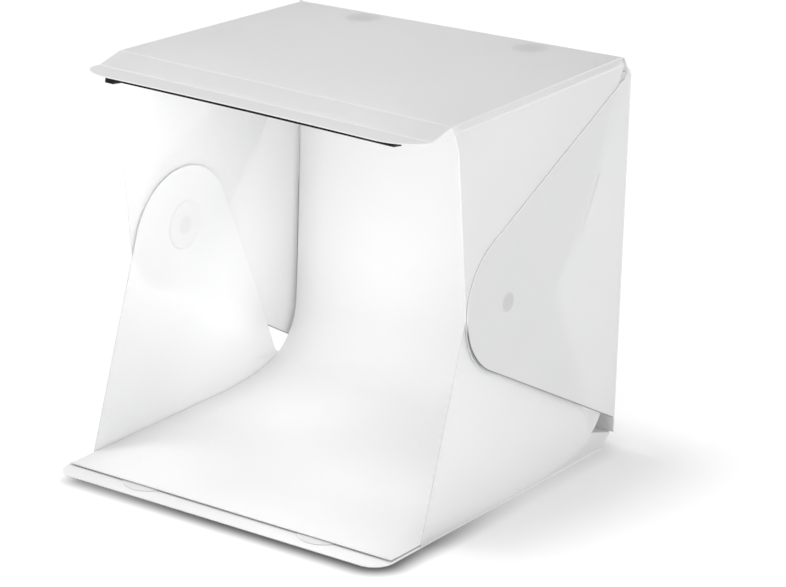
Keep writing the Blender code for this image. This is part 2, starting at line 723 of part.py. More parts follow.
def main():
    """Builds the tent from the table up, each moving group under the empty of its joint."""
    root = new_pivot("tent_origin", (0.0, 0.0, 0.0))
    make_base(root)
    make_backdrop(root)
    back = new_pivot("back_fold", (0.0, *BACK_FOOT), root)
    make_back(back)
    top_spine = new_pivot("top_spine_fold", (0.0, *BACK_HEAD), back)
    make_top_spine(top_spine)
    top = new_pivot("top_fold", (0.0, *TOP_REAR), top_spine)
    make_top(top)
    visor = new_pivot("visor_fold", (0.0, *TOP_FRONT), top)
    bends = (VISOR_LARGEST_BEND, TAB_LARGEST_BEND)
    chain_plate("visor_strip", TOP_FRONT, VISOR_STRIP_ANGLE, visor, TOP_HALF_WIDTH, VISOR_STRIP_DEPTH, bends)
    tab = new_pivot("visor_tab_fold", (0.0, *VISOR_CREASE), visor)
    chain_plate(
        "visor_tab",
        VISOR_CREASE,
        VISOR_TAB_ANGLE,
        tab,
        TOP_HALF_WIDTH,
        VISOR_TAB_DEPTH,
        (TAB_LARGEST_BEND, None),
        corner_radius=VISOR_TAB_CORNER_RADIUS,
    )
    make_lamp(tab)
    wing_hinge = INNER_BACK - GAP / 2
    for side, sign in SIDES.items():
        wing = new_pivot(f"{side}_back_wing_fold", (sign * HALF_WIDTH, wing_hinge, BACK_WING_FOOT), back)
        make_leaf(f"{side}_back_wing", back_wing_outline(), BACK_WING_MAGNET, sign, HALF_WIDTH, wing)
        share = 1.0 if side == "left" else 0.0
        hinge_end = hung((TOP_REAR[0], FLAP_HEAD), share)
        flap = new_pivot(f"{side}_top_flap_fold", (sign * FLAP_PLANE, *hinge_end), top)
        make_leaf(f"{side}_top_flap", top_flap_outline(share), TOP_FLAP_MAGNET, sign, FLAP_PLANE, flap)
        foot = new_pivot(f"{side}_base_wing_fold", (sign * BASE_WING_PLANE, 0.0, SHEET + GAP / 2), root)
        make_leaf(f"{side}_base_wing", base_wing_outline(), BASE_WING_MAGNET, sign, BASE_WING_PLANE, foot)


SIDES = {"left": -1, "right": 1}
clear_scene()
PARTS = new_collection("light_tent")
CUTTERS = new_collection("light_tent_cutters")
main()
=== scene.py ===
"""The finished look of a folding light tent: creased white plastic, a backdrop and a lamp bar.

Every new piece is worked out with numpy as rings of points, closed at both ends, in the same metres and axes
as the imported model. The long pieces are plates in a chain round the X axis: each starts at a crease, has an
angle in the Y-Z plane, and has its thickness on the inner side of the tent. A few small solids are only
dressed.
"""

import logging
import math
from dataclasses import dataclass, field
from enum import Enum
from functools import lru_cache, partial
from typing import Callable, Sequence

import bmesh
import bpy
import numpy as np
from mathutils import Matrix, Vector


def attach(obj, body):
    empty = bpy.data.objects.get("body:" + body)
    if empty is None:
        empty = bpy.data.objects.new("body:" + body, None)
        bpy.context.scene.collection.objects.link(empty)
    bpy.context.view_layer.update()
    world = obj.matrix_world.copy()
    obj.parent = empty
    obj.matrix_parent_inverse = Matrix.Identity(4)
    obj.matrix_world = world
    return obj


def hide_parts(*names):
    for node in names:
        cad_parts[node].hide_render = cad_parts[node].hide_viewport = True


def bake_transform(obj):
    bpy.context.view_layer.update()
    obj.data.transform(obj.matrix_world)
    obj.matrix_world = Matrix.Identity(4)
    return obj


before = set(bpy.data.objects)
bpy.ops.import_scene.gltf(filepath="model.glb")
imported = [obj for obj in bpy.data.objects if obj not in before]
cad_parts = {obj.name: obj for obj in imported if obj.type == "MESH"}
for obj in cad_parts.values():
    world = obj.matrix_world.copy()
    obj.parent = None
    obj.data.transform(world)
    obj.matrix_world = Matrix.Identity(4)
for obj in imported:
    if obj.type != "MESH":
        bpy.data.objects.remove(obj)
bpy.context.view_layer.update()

Points = np.ndarray
Point = Sequence[float]
Place = Callable[[Points], Points]
Pair = tuple[float, float]
Triple = tuple[float, float, float]
Socket = bpy.types.NodeSocket
Value = Socket | float | tuple
Material = bpy.types.Material
LOG = logging.getLogger("light_tent")
QUARTER = np.radians([0.0, 30.0, 60.0, 90.0])
FACE_SHARES = (0.08, 0.2, 0.35, 0.5, 0.65, 0.8, 0.92, 1.0)
RIM_MARKS = (0.8, 1.0, 1.0, 1.0)
END_MARK = 0.5
MERGE_DISTANCE = 1e-6
SHARP_ANGLE = math.radians(50.0)


class Side(Enum):
    """The tent's sides, each with the sign of X there."""

    LEFT = -1.0
    RIGHT = 1.0

    @property
    def word(self) -> str:
        """The side's name."""
        return self.name.lower()


# Shapes as arrays of points


def along(start: Pair, length: float, angle: float) -> Pair:
    """The point at this length and angle from another one."""
    return (start[0] + length * math.cos(angle), start[1] + length * math.sin(angle))


def arc(centre: Point, radius: float, start: float, end: float, step: float = 2.5) -> Points:
    """Points on a circle, centre + radius * (cos a, sin a), with a even and at most step degrees apart."""
    angles = np.linspace(start, end, max(3, math.ceil(abs(end - start) / math.radians(step) - 1e-6) + 1))
    return np.asarray(centre) + radius * np.column_stack([np.cos(angles), np.sin(angles)])


def nose(centre: Point, radius: float, arrive: Point, leave: Point) -> Points:
    """The arc of a leaf's nose between the tangents from two points, anticlockwise.

    Args:
        centre: the nose's middle.
        radius: its radius.
        arrive: the corner that the outline comes from.
        leave: the corner that it goes on to.

    Returns:
        Points on the arc.
    """
    before, after = np.subtract(arrive, centre), np.subtract(leave, centre)
    start = math.atan2(before[1], before[0]) + math.acos(radius / np.linalg.norm(before))
    end = math.atan2(after[1], after[0]) - math.acos(radius / np.linalg.norm(after))
    return arc(centre, radius, start, start + (end - start) % math.tau)


def rounded(before: Point, corner: Point, after: Point, radius: float) -> Points:
    """The arc that rounds a corner, tangent to both of its sides.

    Args:
        before: the point that the outline comes from.
        corner: the sharp corner.
        after: the point that it goes on to.
        radius: the arc's radius.

    Returns:
        Points on the arc, from the first side to the second.
    """
    back, ahead = np.subtract(before, corner), np.subtract(after, corner)
    back, ahead = back / np.linalg.norm(back), ahead / np.linalg.norm(ahead)
    half = math.acos(np.clip(back @ ahead, -1.0, 1.0)) / 2
    middle = (back + ahead) / np.linalg.norm(back + ahead) * radius / math.sin(half)
    first, last = (side * radius / math.tan(half) - middle for side in (back, ahead))
    start = math.atan2(first[1], first[0])
    turn = math.remainder(math.atan2(last[1], last[0]) - start, math.tau)
    return arc(np.add(corner, middle), radius, start, start + turn)


def rounded_loop(corners: Points, radii: Sequence[float]) -> Points:
    """A closed outline with each of its corners rounded by its own radius."""
    around = zip(np.roll(corners, 1, axis=0), corners, np.roll(corners, -1, axis=0), radii)
    return np.vstack([rounded(*corner) for corner in around])


def rounded_box(half: Pair, radius: float, centre: Pair) -> Points:
    """An anticlockwise rectangle with round corners, always of as many points."""
    corners = np.array([(1, -1), (1, 1), (-1, 1), (-1, -1)]) * half + centre
    return rounded_loop(corners, [radius] * 4)


def divided(loops: Sequence[Points], spacing: float) -> list[Points]:
    """Adds points to closed outlines, so that no side of the first one is longer than the spacing.

    Args:
        loops: outlines that match point for point.
        spacing: the longest side wanted.

    Returns:
        The outlines with the new points, which lie straight between their own.
    """
    sides = [np.roll(loop, -1, axis=0) - loop for loop in loops]
    pieces = np.maximum(1, np.ceil(np.linalg.norm(sides[0], axis=1) / spacing)).astype(int)
    number = np.repeat(np.arange(len(pieces)), pieces)
    share = (np.arange(len(number)) - np.repeat(np.cumsum(pieces) - pieces, pieces)) / pieces[number]
    return [loop[number] + share[:, None] * side[number] for loop, side in zip(loops, sides)]


def inset(loop: Points, distance: float) -> Points:
    """An anticlockwise outline drawn in by a distance along the mean of its sides' normals.

    Args:
        loop: the outline.
        distance: how far it shrinks, in metres.

    Returns:
        The smaller outline, point for point.
    """
    side = np.roll(loop, -1, axis=0) - loop
    side = side / np.maximum(np.linalg.norm(side, axis=1, keepdims=True), 1e-12)
    inward = np.column_stack([-side[:, 1], side[:, 0]])
    other = np.roll(inward, 1, axis=0)
    share = 1.0 + np.sum(inward * other, axis=1, keepdims=True)
    return loop + distance * (inward + other) / np.maximum(share, 0.6)


def normals(path: Points) -> Points:
    """The unit normals of a line in a plane, on its right-hand side."""
    ahead = np.gradient(path, axis=0)
    return np.column_stack([ahead[:, 1], -ahead[:, 0]]) / np.linalg.norm(ahead, axis=1, keepdims=True)


def ramp(value: Points, span: Pair) -> Points:
    """How far the value is from the span's first end to its second, held at 0 and 1."""
    return np.clip((value - span[0]) / (span[1] - span[0]), 0.0, 1.0)


def smooth(value: Points, span: Pair) -> Points:
    """A soft step over a span: 3t^2 - 2t^3, where t is its ramp."""
    share = ramp(value, span)
    return share * share * (3.0 - 2.0 * share)


def still(points: Points) -> Points:
    """No change of place."""
    return points


@dataclass(frozen=True)
class TentSizes:
    """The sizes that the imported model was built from, in metres and radians, and what follows from them.

    A crease is a point (Y, Z). A plane is where a leaf's outer face lies, from the middle.
    """

    width: float = 0.381
    depth: float = 0.3903
    height: float = 0.3917
    sheet: float = 0.001
    gap: float = 0.0003
    cover: float = 0.0004
    bottom_spine: float = 0.020
    bottom_angle: float = math.radians(40.0)
    top_spine: float = 0.0192
    top_spine_angle: float = math.radians(121.4)
    top_depth: float = 0.284
    strip_depth: float = 0.0314
    strip_angle: float = math.radians(193.1)
    tab_depth: float = 0.0386
    tab_angle: float = math.radians(173.2)
    tab_corner: float = 0.0375
    base_corner: float = 0.021
    base_lip: float = 0.001
    visor_bend: float = math.radians(75.0)
    tab_bend: float = math.radians(60.0)
    band_out: float = 0.0025
    band_drop: float = 0.0067
    band_end: float = 0.001
    rounding: float = 0.0002
    wing_nose: Pair = (-0.0016, 0.2049)
    wing_foot: float = 0.0283
    half: float = width / 2
    pitch: float = sheet + cover + 2 * gap
    flap_plane: float = half - pitch
    base_wing_plane: float = flap_plane - pitch
    base_half: float = base_wing_plane + base_lip
    top_half: float = flap_plane - band_out
    front: float = -depth / 2
    rear: float = depth / 2
    inner_back: float = rear - sheet
    base_rear: Pair = (rear - bottom_spine * math.cos(bottom_angle), 0.0)
    back_foot: Pair = (rear, bottom_spine * math.sin(bottom_angle))
    back_head: Pair = (rear, height - top_spine * math.sin(top_spine_angle))
    top_rear: Pair = along(back_head, top_spine, top_spine_angle)
    top_front: Pair = along(top_rear, top_depth, math.pi)
    visor_crease: Pair = along(top_front, strip_depth, strip_angle)
    flap_head: float = height - band_drop
    band_tilt: float = math.atan2(band_out, band_drop)

    def setback(self, bend: float) -> float:
        """How far a plate's inner edge stays from its crease, for a crease that closes to this bend."""
        return self.gap / 2 + self.sheet * math.tan(bend / 2)


TENT = TentSizes()


@dataclass(frozen=True)
class Stance:
    """How the standing tent departs from flat planes, as changes of place for its pieces.

    A span says over which Y, Z or distance a change grows from nothing to its whole.
    """

    corner_drop: float = 0.0135
    corner_back: float = 0.003
    flap_forward: float = 0.0115
    flap_run: Pair = (0.185, -0.095)
    flap_ease: float = 0.03
    knee_forward: float = 0.0085
    knee_run: Pair = (0.17, -0.13)
    knee_drop: float = 0.009
    knee_spans: tuple[Pair, Pair, Pair] = ((0.085, 0.145), (0.013, 0.033), (0.13, 0.02))
    tab_bow: float = 0.0014
    bow_middle: float = 0.03
    bow_reach: float = 0.19
    press: float = 0.00098
    flare: float = 0.0015
    hang: float = 0.0055
    hang_spans: tuple[Pair, Pair] = ((0.04, 0.13), (0.10, 0.03))
    edge_span: Pair = (0.05, 0.0)
    nose_spans: tuple[Pair, Pair] = ((0.036, 0.066), (0.01, -0.03))
    upper_edge: tuple[Pair, Pair] = ((0.1939, 0.3755), (-0.4368, 0.8996))
    upper_spans: tuple[Pair, Pair, Pair] = ((0.232, 0.267), (0.194, 0.168), (0.195, 0.225))
    lower_edge: tuple[Pair, Pair] = ((0.1939, 0.0283), (-0.4562, -0.8899))
    lower_spans: tuple[Pair, Pair, Pair] = ((0.178, 0.143), (0.18, 0.10), (0.180, 0.150))

    def lowered(self, points: Points, share: Points) -> Points:
        """Moves points by their share of the rear left corner's drop, which grows to the left."""
        share = share * ramp(points[:, 0], (TENT.top_half, -TENT.top_half))
        return points + np.outer(share, (0.0, self.corner_back, -self.corner_drop))

    def top(self, points: Points) -> Points:
        """The top's rear left corner hangs: the drop is (share to the left) * (share to the rear)."""
        return self.lowered(points, ramp(points[:, 1], (TENT.top_front[0], TENT.top_rear[0])))

    def top_spine(self, points: Points) -> Points:
        """The rear bevel follows the top with its upper edge and the back with its lower edge.

        Args:
            points: points of the bevel.

        Returns:
            The moved points.
        """
        angle = TENT.top_spine_angle
        up = (points[:, 1:] - TENT.back_head) @ (math.cos(angle), math.sin(angle))
        span = (TENT.setback(angle - math.pi / 2), TENT.top_spine - TENT.setback(math.pi - angle))
        return self.lowered(points, ramp(up, span))

    def left_flap(self, points: Points) -> Points:
        """The left flap's front edge stands a little forward below its head."""
        low = smooth(points[:, 2], (TENT.flap_head, TENT.flap_head - self.flap_ease))
        return points - np.outer(low * ramp(points[:, 1], self.flap_run), (0.0, self.flap_forward, 0.0))

    def left_base_wing(self, points: Points) -> Points:
        """The left base wing's front edge stands a little forward, and its rear knee a little lower.

        Args:
            points: points of the wing.

        Returns:
            The moved points.
        """
        y, up = points[:, 1], points[:, 2]
        rear, foot, head = self.knee_spans
        down = self.knee_drop * smooth(y, rear) * smooth(up, foot) * smooth(up, head)
        return points - np.column_stack([0 * y, self.knee_forward * ramp(y, self.knee_run), down])

    def edge_share(self, points: Points, edge: tuple[Pair, Pair], spans: tuple[Pair, Pair, Pair]) -> Points:
        """How far a back wing's points go with its upper or lower edge, from 0 to 1.

        It is the larger of two soft shares, one towards the straight edge and one outwards round the nose.

        Args:
            points: points of the wing.
            edge: a point of the straight edge, and the direction out across it, in Y and Z.
            spans: where the shares grow: along the edge in Z and in Y, and round the nose in Z.

        Returns:
            The share of each point.
        """
        y, up = points[:, 1], points[:, 2]
        inside = (np.array(edge[0]) - points[:, 1:]) @ edge[1]
        straight = smooth(inside, self.edge_span) * smooth(up, spans[0]) * smooth(y, spans[1])
        away = np.hypot(y - TENT.wing_nose[0], up - TENT.wing_nose[1])
        around = smooth(away, self.nose_spans[0]) * smooth(y, self.nose_spans[1]) * smooth(up, spans[2])
        return np.maximum(straight, around)

    def back_wing(self, points: Points, side: Side) -> Points:
        """A back wing's upper edge leans on the flap, its lower edge stands off, and the left one hangs.

        Args:
            points: points of the wing.
            side: which side it is on.

        Returns:
            The moved points.
        """
        out = self.flare * self.edge_share(points, self.lower_edge, self.lower_spans)
        out = out - self.press * self.edge_share(points, self.upper_edge, self.upper_spans)
        drop = smooth(points[:, 1], self.hang_spans[0]) * smooth(points[:, 2], self.hang_spans[1])
        drop = self.hang * drop * (side is Side.LEFT)
        return points + np.column_stack([side.value * out, 0 * drop, -drop])

    def tab(self, points: Points) -> Points:
        """The visor's tab bows up between its ends as a cosine of X, most at its front edge.

        Args:
            points: points of the tab or the lamp.

        Returns:
            The moved points.
        """
        share = ramp(points[:, 1], (TENT.visor_crease[0], TENT.visor_crease[0] - TENT.tab_depth))
        off = np.clip((points[:, 0] - self.bow_middle) / self.bow_reach, -1.0, 1.0)
        return points + np.outer(self.tab_bow * share * np.cos(off * math.pi / 2), (0.0, 0.0, 1.0))


STANCE = Stance()


def chain_place(points: Points, crease: Pair, angle: float) -> Points:
    """Puts a chain plate's flat points (across, from its crease, inwards) into the tent, turned about X."""
    return points @ np.array(Matrix.Rotation(angle, 3, "X")).T + (0.0, *crease)


def leaf_place(points: Points, plane: float, sign: float) -> Points:
    """Puts a leaf's flat points (Y, Z, inwards) into the tent, behind its plane."""
    return np.column_stack([sign * (plane - points[:, 2]), points[:, :2]])


@dataclass(frozen=True)
class Skin:
    """A closed body made of rings of points, each ring joined to the next."""

    rings: Points
    cut: Points
    poles: Points = field(default_factory=lambda: np.zeros((0, 3)))

    def faces(self) -> list[list[int]]:
        """Numbers the faces: quads between neighbour rings, and caps at both ends.

        With poles a cap is a fan. Without them it is a strip of quads between the ring's two long sides.

        Returns:
            The point numbers of each face.
        """
        count, around = self.rings.shape[:2]
        index = np.arange(count * around).reshape(count, around)
        ahead = np.roll(index, -1, axis=1)
        quads = np.stack([index[:-1], ahead[:-1], ahead[1:], index[1:]], axis=-1).reshape(-1, 4)
        if len(self.poles):
            pole = np.full(around, count * around)
            fans = [(pole, ahead[0], index[0]), (pole + 1, index[-1], ahead[-1])]
            return quads.tolist() + np.vstack([np.column_stack(fan) for fan in fans]).tolist()
        half = np.arange(around // 2 - 1)
        strip = np.column_stack([half, half + 1, around - 2 - half, around - 1 - half])
        return np.vstack([quads, index[0][strip[:, ::-1]], index[-1][strip]]).tolist()

    def moved(self, change: Place) -> "Skin":
        """The same body with every point passed through a change of place."""
        rings = change(self.rings.reshape(-1, 3)).reshape(self.rings.shape)
        return Skin(rings, self.cut, change(self.poles))

    def mesh(self, name: str) -> bpy.types.Mesh:
        """Writes the body into a mesh, with its doubles merged and every face pointing out.

        Args:
            name: the mesh's name.

        Returns:
            The mesh, smooth shaded, with the share of cut edge as a point attribute.
        """
        mesh = bpy.data.meshes.new(name)
        mesh.from_pydata(np.vstack([self.rings.reshape(-1, 3), self.poles]).tolist(), [], self.faces())
        cut = np.concatenate([np.repeat(self.cut, self.rings.shape[1]), np.zeros(len(self.poles))])
        mesh.attributes.new("cut_edge", "FLOAT", "POINT").data.foreach_set("value", cut.astype(np.float32))
        work = bmesh.new()
        work.from_mesh(mesh)
        bmesh.ops.remove_doubles(work, verts=work.verts, dist=MERGE_DISTANCE)
        bmesh.ops.recalc_face_normals(work, faces=work.faces)
        work.to_mesh(mesh)
        work.free()
        mesh.shade_smooth()
        mesh.set_sharp_from_angle(angle=SHARP_ANGLE)
        return mesh


def plate_skin(outer: Points, inner: Points, centre: Pair, rounding: float, spacing: float) -> Skin:
    """A flat plate of the tent's sheet: on both faces, rings shrink from its edge to a middle point.

    On a face a ring is centre + share * (edge - centre). On the rim, a quarter round, the outline is drawn in
    by rounding * (1 - sin a) at the depth rounding * (1 - cos a), with a from 0 to a right angle.

    Args:
        outer: the outline on the outer face, anticlockwise.
        inner: the outline on the inner face, point for point.
        centre: a point that sees the whole outline.
        rounding: the radius of the rim's edges.
        spacing: the longest side wanted along the outline.

    Returns:
        The plate, with its thickness along the third axis from 0.
    """
    rings: list[Points] = []
    cut: list[float] = []
    for loop, base, sense in zip(divided([outer, inner], spacing), (0.0, TENT.sheet), (1, -1)):
        guard = inset(loop, 3 * rounding) - centre
        flats = [(centre + share * guard, base) for share in FACE_SHARES]
        for a in QUARTER:
            depth = sense * rounding * (1 - math.cos(a))
            flats.append((inset(loop, rounding * (1 - math.sin(a))), base + depth))
        rings += [np.column_stack([flat, np.full(len(flat), height)]) for flat, height in flats][::sense]
        cut += [*np.zeros(len(FACE_SHARES)), *RIM_MARKS][::sense]
    return Skin(np.array(rings), np.array(cut), np.array([[*centre, 0.0], [*centre, TENT.sheet]]))


def carried_skin(section: Points, stations: Points, rounding: float = 0.0) -> Skin:
    """A section carried straight along a line, its two ends drawn in by a quarter round.

    Args:
        section: the closed outline, anticlockwise.
        stations: where the rings stand, in rising order.
        rounding: the radius of the end edges, or 0 for sharp ends that are closed by strips.

    Returns:
        The body as rings of (along, across, up).
    """
    turns = QUARTER if rounding else QUARTER[:0]
    drawn = [(rounding * (1 - math.cos(a)), rounding * (1 - math.sin(a))) for a in turns]
    start = [(stations[0] + ahead, shrink) for ahead, shrink in drawn]
    end = [(stations[-1] - ahead, shrink) for ahead, shrink in drawn[::-1]]
    inside = [(at, 0.0) for at in (stations[1:-1] if rounding else stations)]
    places = start + inside + end
    rings = [np.column_stack([np.full(len(section), at), inset(section, shrink)]) for at, shrink in places]
    marks = [END_MARK] * len(start) + [0.0] * len(inside) + [END_MARK] * len(end)
    poles = [[ring[0, 0], *section.mean(axis=0)] for ring in (rings[0], rings[-1]) if rounding]
    return Skin(np.array(rings), np.array(marks), np.array(poles).reshape(-1, 3))


def turned_skin(profile: Sequence[Pair], around: int) -> Skin:
    """A round body: the profile's (radius, height) pairs turned about the third axis.

    Args:
        profile: radius and height of each ring, from one pole to the other.
        around: how many points each ring has.

    Returns:
        The body, its axis through the origin.
    """
    angles = np.linspace(0.0, math.tau, around, endpoint=False)
    cos, sin = np.cos(angles), np.sin(angles)
    rings = [np.column_stack([r * cos, r * sin, np.full(around, height)]) for r, height in profile]
    poles = [(0.0, 0.0, profile[end][1]) for end in (0, -1)]
    return Skin(np.array(rings), np.zeros(len(rings)), np.array(poles))


def bent_path(before: Point, corner: Point, after: Point, count: int = 11) -> Points:
    """A path over a crease: corner + f(-s) * back + f(s) * ahead, where f(s) = (s + sqrt(s^2 + c^2)) / 2.

    Args:
        before: where the path starts.
        corner: the crease.
        after: where it ends.
        count: how many points it has.

    Returns:
        The path's points, slightly rounded at the corner.
    """
    back, ahead = np.subtract(before, corner), np.subtract(after, corner)
    reach_back, reach_ahead = np.linalg.norm(back), np.linalg.norm(ahead)
    ease = 0.1 * (reach_back + reach_ahead)
    s = np.linspace(-reach_back, reach_ahead, count)
    root = np.sqrt(s * s + ease * ease)
    path = np.outer(root - s, back / reach_back) + np.outer(root + s, ahead / reach_ahead)
    return corner + path / 2


# Finishes


def grey(value: float, warmth: float = 0.0) -> tuple[float, float, float, float]:
    """A near-neutral colour, slightly warmer or cooler."""
    return (value * (1 + warmth), value, value * (1 - warmth), 1.0)


def stretch(axis: int, factor: float) -> Triple:
    """A scale of 1 that has another factor on one axis."""
    return tuple(factor if number == axis else 1.0 for number in range(3))


class Painter:
    """Adds nodes to one material and joins them."""

    def __init__(self, name: str) -> None:
        """Starts a material that holds one shader.

        Args:
            name: the material's name.
        """
        self.material = bpy.data.materials.new(name)
        self.material.use_nodes = True
        self.tree = self.material.node_tree
        self.shader = self.tree.nodes["Principled BSDF"]
        self.place = self.add("TexCoord", {}).outputs["Object"]

    def fill(self, node: bpy.types.Node, inputs: dict[str | int, Value]) -> bpy.types.Node:
        """Feeds a node.

        Args:
            node: the node.
            inputs: for its inputs, by name or number, a socket to join or a plain value.

        Returns:
            The same node.
        """
        for key, value in inputs.items():
            if isinstance(value, Socket):
                self.tree.links.new(value, node.inputs[key])
            else:
                node.inputs[key].default_value = value
        return node

    def add(self, kind: str, inputs: dict[str | int, Value], **settings: str) -> bpy.types.Node:
        """Adds a node.

        Args:
            kind: the node's type, without the word ShaderNode.
            inputs: what feeds it.
            settings: its own properties.

        Returns:
            The node.
        """
        node = self.tree.nodes.new(f"ShaderNode{kind}")
        for key, value in settings.items():
            setattr(node, key, value)
        return self.fill(node, inputs)

    def shade(self, inputs: dict[str, Value]) -> Material:
        """Feeds the material's shader, and gives the material back."""
        self.fill(self.shader, inputs)
        return self.material

    def noise(self, scale: float, detail: float = 2.0, source: Socket | None = None) -> Socket:
        """A noise of this many waves a metre, from 0 to 1."""
        inputs = {"Vector": source or self.place, "Scale": scale, "Detail": detail, "Roughness": 0.55}
        return self.add("TexNoise", inputs).outputs["Fac"]

    def span(self, source: Socket, low: float, high: float, to_low: float, to_high: float) -> Socket:
        """Maps one range of a number softly onto another, and holds it there."""
        inputs = dict(enumerate((source, low, high, to_low, to_high)))
        return self.add("MapRange", inputs, interpolation_type="SMOOTHSTEP").outputs[0]

    def maths(self, operation: str, *terms: Value) -> Socket:
        """A sum, product or other operation on numbers and sockets."""
        return self.add("Math", dict(enumerate(terms)), operation=operation).outputs[0]

    def vector(self, operation: str, *terms: Value) -> Socket:
        """An operation on vectors, of which LENGTH gives a number."""
        node = self.add("VectorMath", dict(enumerate(terms)), operation=operation)
        return node.outputs["Value" if operation == "LENGTH" else "Vector"]

    def blend(self, share: Value, first: Value, second: Value) -> Socket:
        """Mixes two colours by a share."""
        return self.add("Mix", {0: share, 6: first, 7: second}, data_type="RGBA").outputs[2]

    def cut_edge(self) -> Socket:
        """How far a place belongs to a cut edge, which the mesh holds at its points."""
        return self.add("Attribute", {}, attribute_name="cut_edge").outputs["Fac"]

    def bump(self, height: Socket, distance: float) -> Socket:
        """The normal that a height of this many metres gives."""
        return self.add("Bump", {"Height": height, "Distance": distance}).outputs["Normal"]

    def let_through(self, share: float, left: float) -> None:
        """Mixes in light that passes through the surface.

        Args:
            share: the share that goes through instead of back.
            left: how much of it is left.
        """
        through = self.add("BsdfTranslucent", {"Color": grey(left)})
        mix = self.add("MixShader", {0: share, 1: self.shader.outputs[0], 2: through.outputs[0]})
        self.fill(self.tree.nodes["Material Output"], {"Surface": mix.outputs[0]})


@dataclass(frozen=True)
class Spot:
    """A round thing behind the plastic that shows through as a soft grey disc with a faint ring."""

    centre: Triple
    axis: int
    radius: float = 0.0093
    ring: float = 0.0235
    depth: float = 0.13
    soft: Pair = (-0.0014, 0.0010)
    ring_width: float = 0.0011

    def shade(self, paint: Painter) -> tuple[Socket, Socket]:
        """Works out the spot from the distance to its centre across the sheet.

        Args:
            paint: the material's painter.

        Returns:
            How dark the place is, and how far the ring stands up there, from 0 to 1.
        """
        off = paint.vector("SUBTRACT", paint.place, self.centre)
        length = paint.vector("LENGTH", paint.vector("MULTIPLY", off, stretch(self.axis, 0.0)))
        disc = paint.span(length, self.radius + self.soft[0], self.radius + self.soft[1], self.depth, 0.0)
        away = paint.maths("ABSOLUTE", paint.maths("SUBTRACT", length, self.ring))
        return disc, paint.span(away, 0.0, self.ring_width, 1.0, 0.0)


@dataclass(frozen=True)
class WhitePlastic:
    """The tent's sheet: white translucent plastic, finely matted, with faint clouding, and cut edges and
    tones that carry painted light and shade.
    """

    name: str
    # tone is set per piece: the same plastic, made paler or darker as painted light and shade for how that
    # piece is lit
    tone: float = 0.71
    # edge_tone: the cut edges' tone, paler partly as the cut plastic's own and partly as painted highlight,
    # darker as painted shade
    edge_tone: float = 0.95
    roughness: float = 0.42
    spots: tuple[Spot, ...] = ()
    through: float = 0.35
    # shaded_below: the height under which the cut edge is painted dark as shade, 0 for none
    shaded_below: float = 0.0
    shade_fade: float = 0.02

    def make(self) -> Material:
        """Builds the material.

        Returns:
            The material, with cloudy colour, a fine matte grain, the spots and the painted light and shade of
            its cut edges.
        """
        paint = Painter(self.name)
        cloud = paint.noise(7.0, 1.0)
        share = paint.span(cloud, 0.3, 0.7, 0.0, 1.0)
        colour = paint.blend(share, grey(self.tone * 0.985, -0.002), grey(self.tone * 1.015, 0.002))
        grain = paint.maths("MULTIPLY", paint.noise(2600.0, 0.0), 0.10)
        rise = paint.maths("ADD", grain, paint.maths("MULTIPLY", paint.noise(16.0, 1.0), 2.0))
        for spot in self.spots:
            disc, ring = spot.shade(paint)
            colour = paint.blend(disc, colour, grey(0.30))
            colour = paint.blend(paint.maths("MULTIPLY", ring, 0.05), colour, grey(0.95))
            rise = paint.maths("ADD", rise, paint.maths("MULTIPLY", ring, 0.6))
        # the cut edges get their own tone: painted highlight where paler, painted shade where darker
        edge: Value = grey(self.edge_tone)
        # painted shade: below the given height the cut edge fades to dark grey
        if self.shaded_below:
            up = paint.add("SeparateXYZ", {0: paint.place}).outputs["Z"]
            lit = paint.span(up, self.shaded_below - self.shade_fade, self.shaded_below, 0.0, 1.0)
            edge = paint.blend(lit, grey(0.16), edge)
        paint.let_through(self.through, 0.95)
        return paint.shade({
            "Base Color": paint.blend(paint.cut_edge(), colour, edge),
            "Normal": paint.bump(rise, 0.00012),
            "Roughness": paint.span(cloud, 0.3, 0.7, self.roughness - 0.05, self.roughness + 0.05),
            "IOR": 1.49,
        })


@lru_cache
def crease_material(axis: int) -> Material:
    """A crease's finish: bending has stressed the plastic to a paler line, finely streaked across it.

    Args:
        axis: the axis that the streaks are squeezed on.

    Returns:
        The material, made once for each axis.
    """
    paint = Painter(f"crease_white_{'xyz'[axis]}")
    streak = paint.noise(220.0, 1.0, paint.vector("MULTIPLY", paint.place, stretch(axis, 6.0)))
    return paint.shade({
        "Base Color": paint.blend(paint.span(streak, 0.25, 0.75, 0.0, 1.0), grey(0.76), grey(0.84)),
        "Normal": paint.bump(streak, 0.00005),
        "Roughness": paint.span(streak, 0.3, 0.7, 0.34, 0.5),
        "IOR": 1.49,
    })


@dataclass(frozen=True)
class BackdropVinyl:
    """The loose backdrop: a softer, brighter white with a very fine leathery grain."""

    name: str
    tone: float = 0.90

    def make(self) -> Material:
        """Builds the material.

        Returns:
            The material, with a pebble grain of about half a millimetre.
        """
        paint = Painter(self.name)
        cloud = paint.span(paint.noise(5.0, 1.0), 0.3, 0.7, 0.0, 1.0)
        colour = paint.blend(cloud, grey(self.tone * 0.99), grey(self.tone * 1.01))
        paint.let_through(0.20, 0.9)
        return paint.shade({
            "Base Color": paint.blend(paint.cut_edge(), colour, grey(0.80)),
            "Normal": paint.bump(paint.noise(1800.0, 1.0), 0.00003),
            "Roughness": paint.span(cloud, 0.0, 1.0, 0.50, 0.62),
            "IOR": 1.45,
            "Sheen Weight": 0.05,
        })


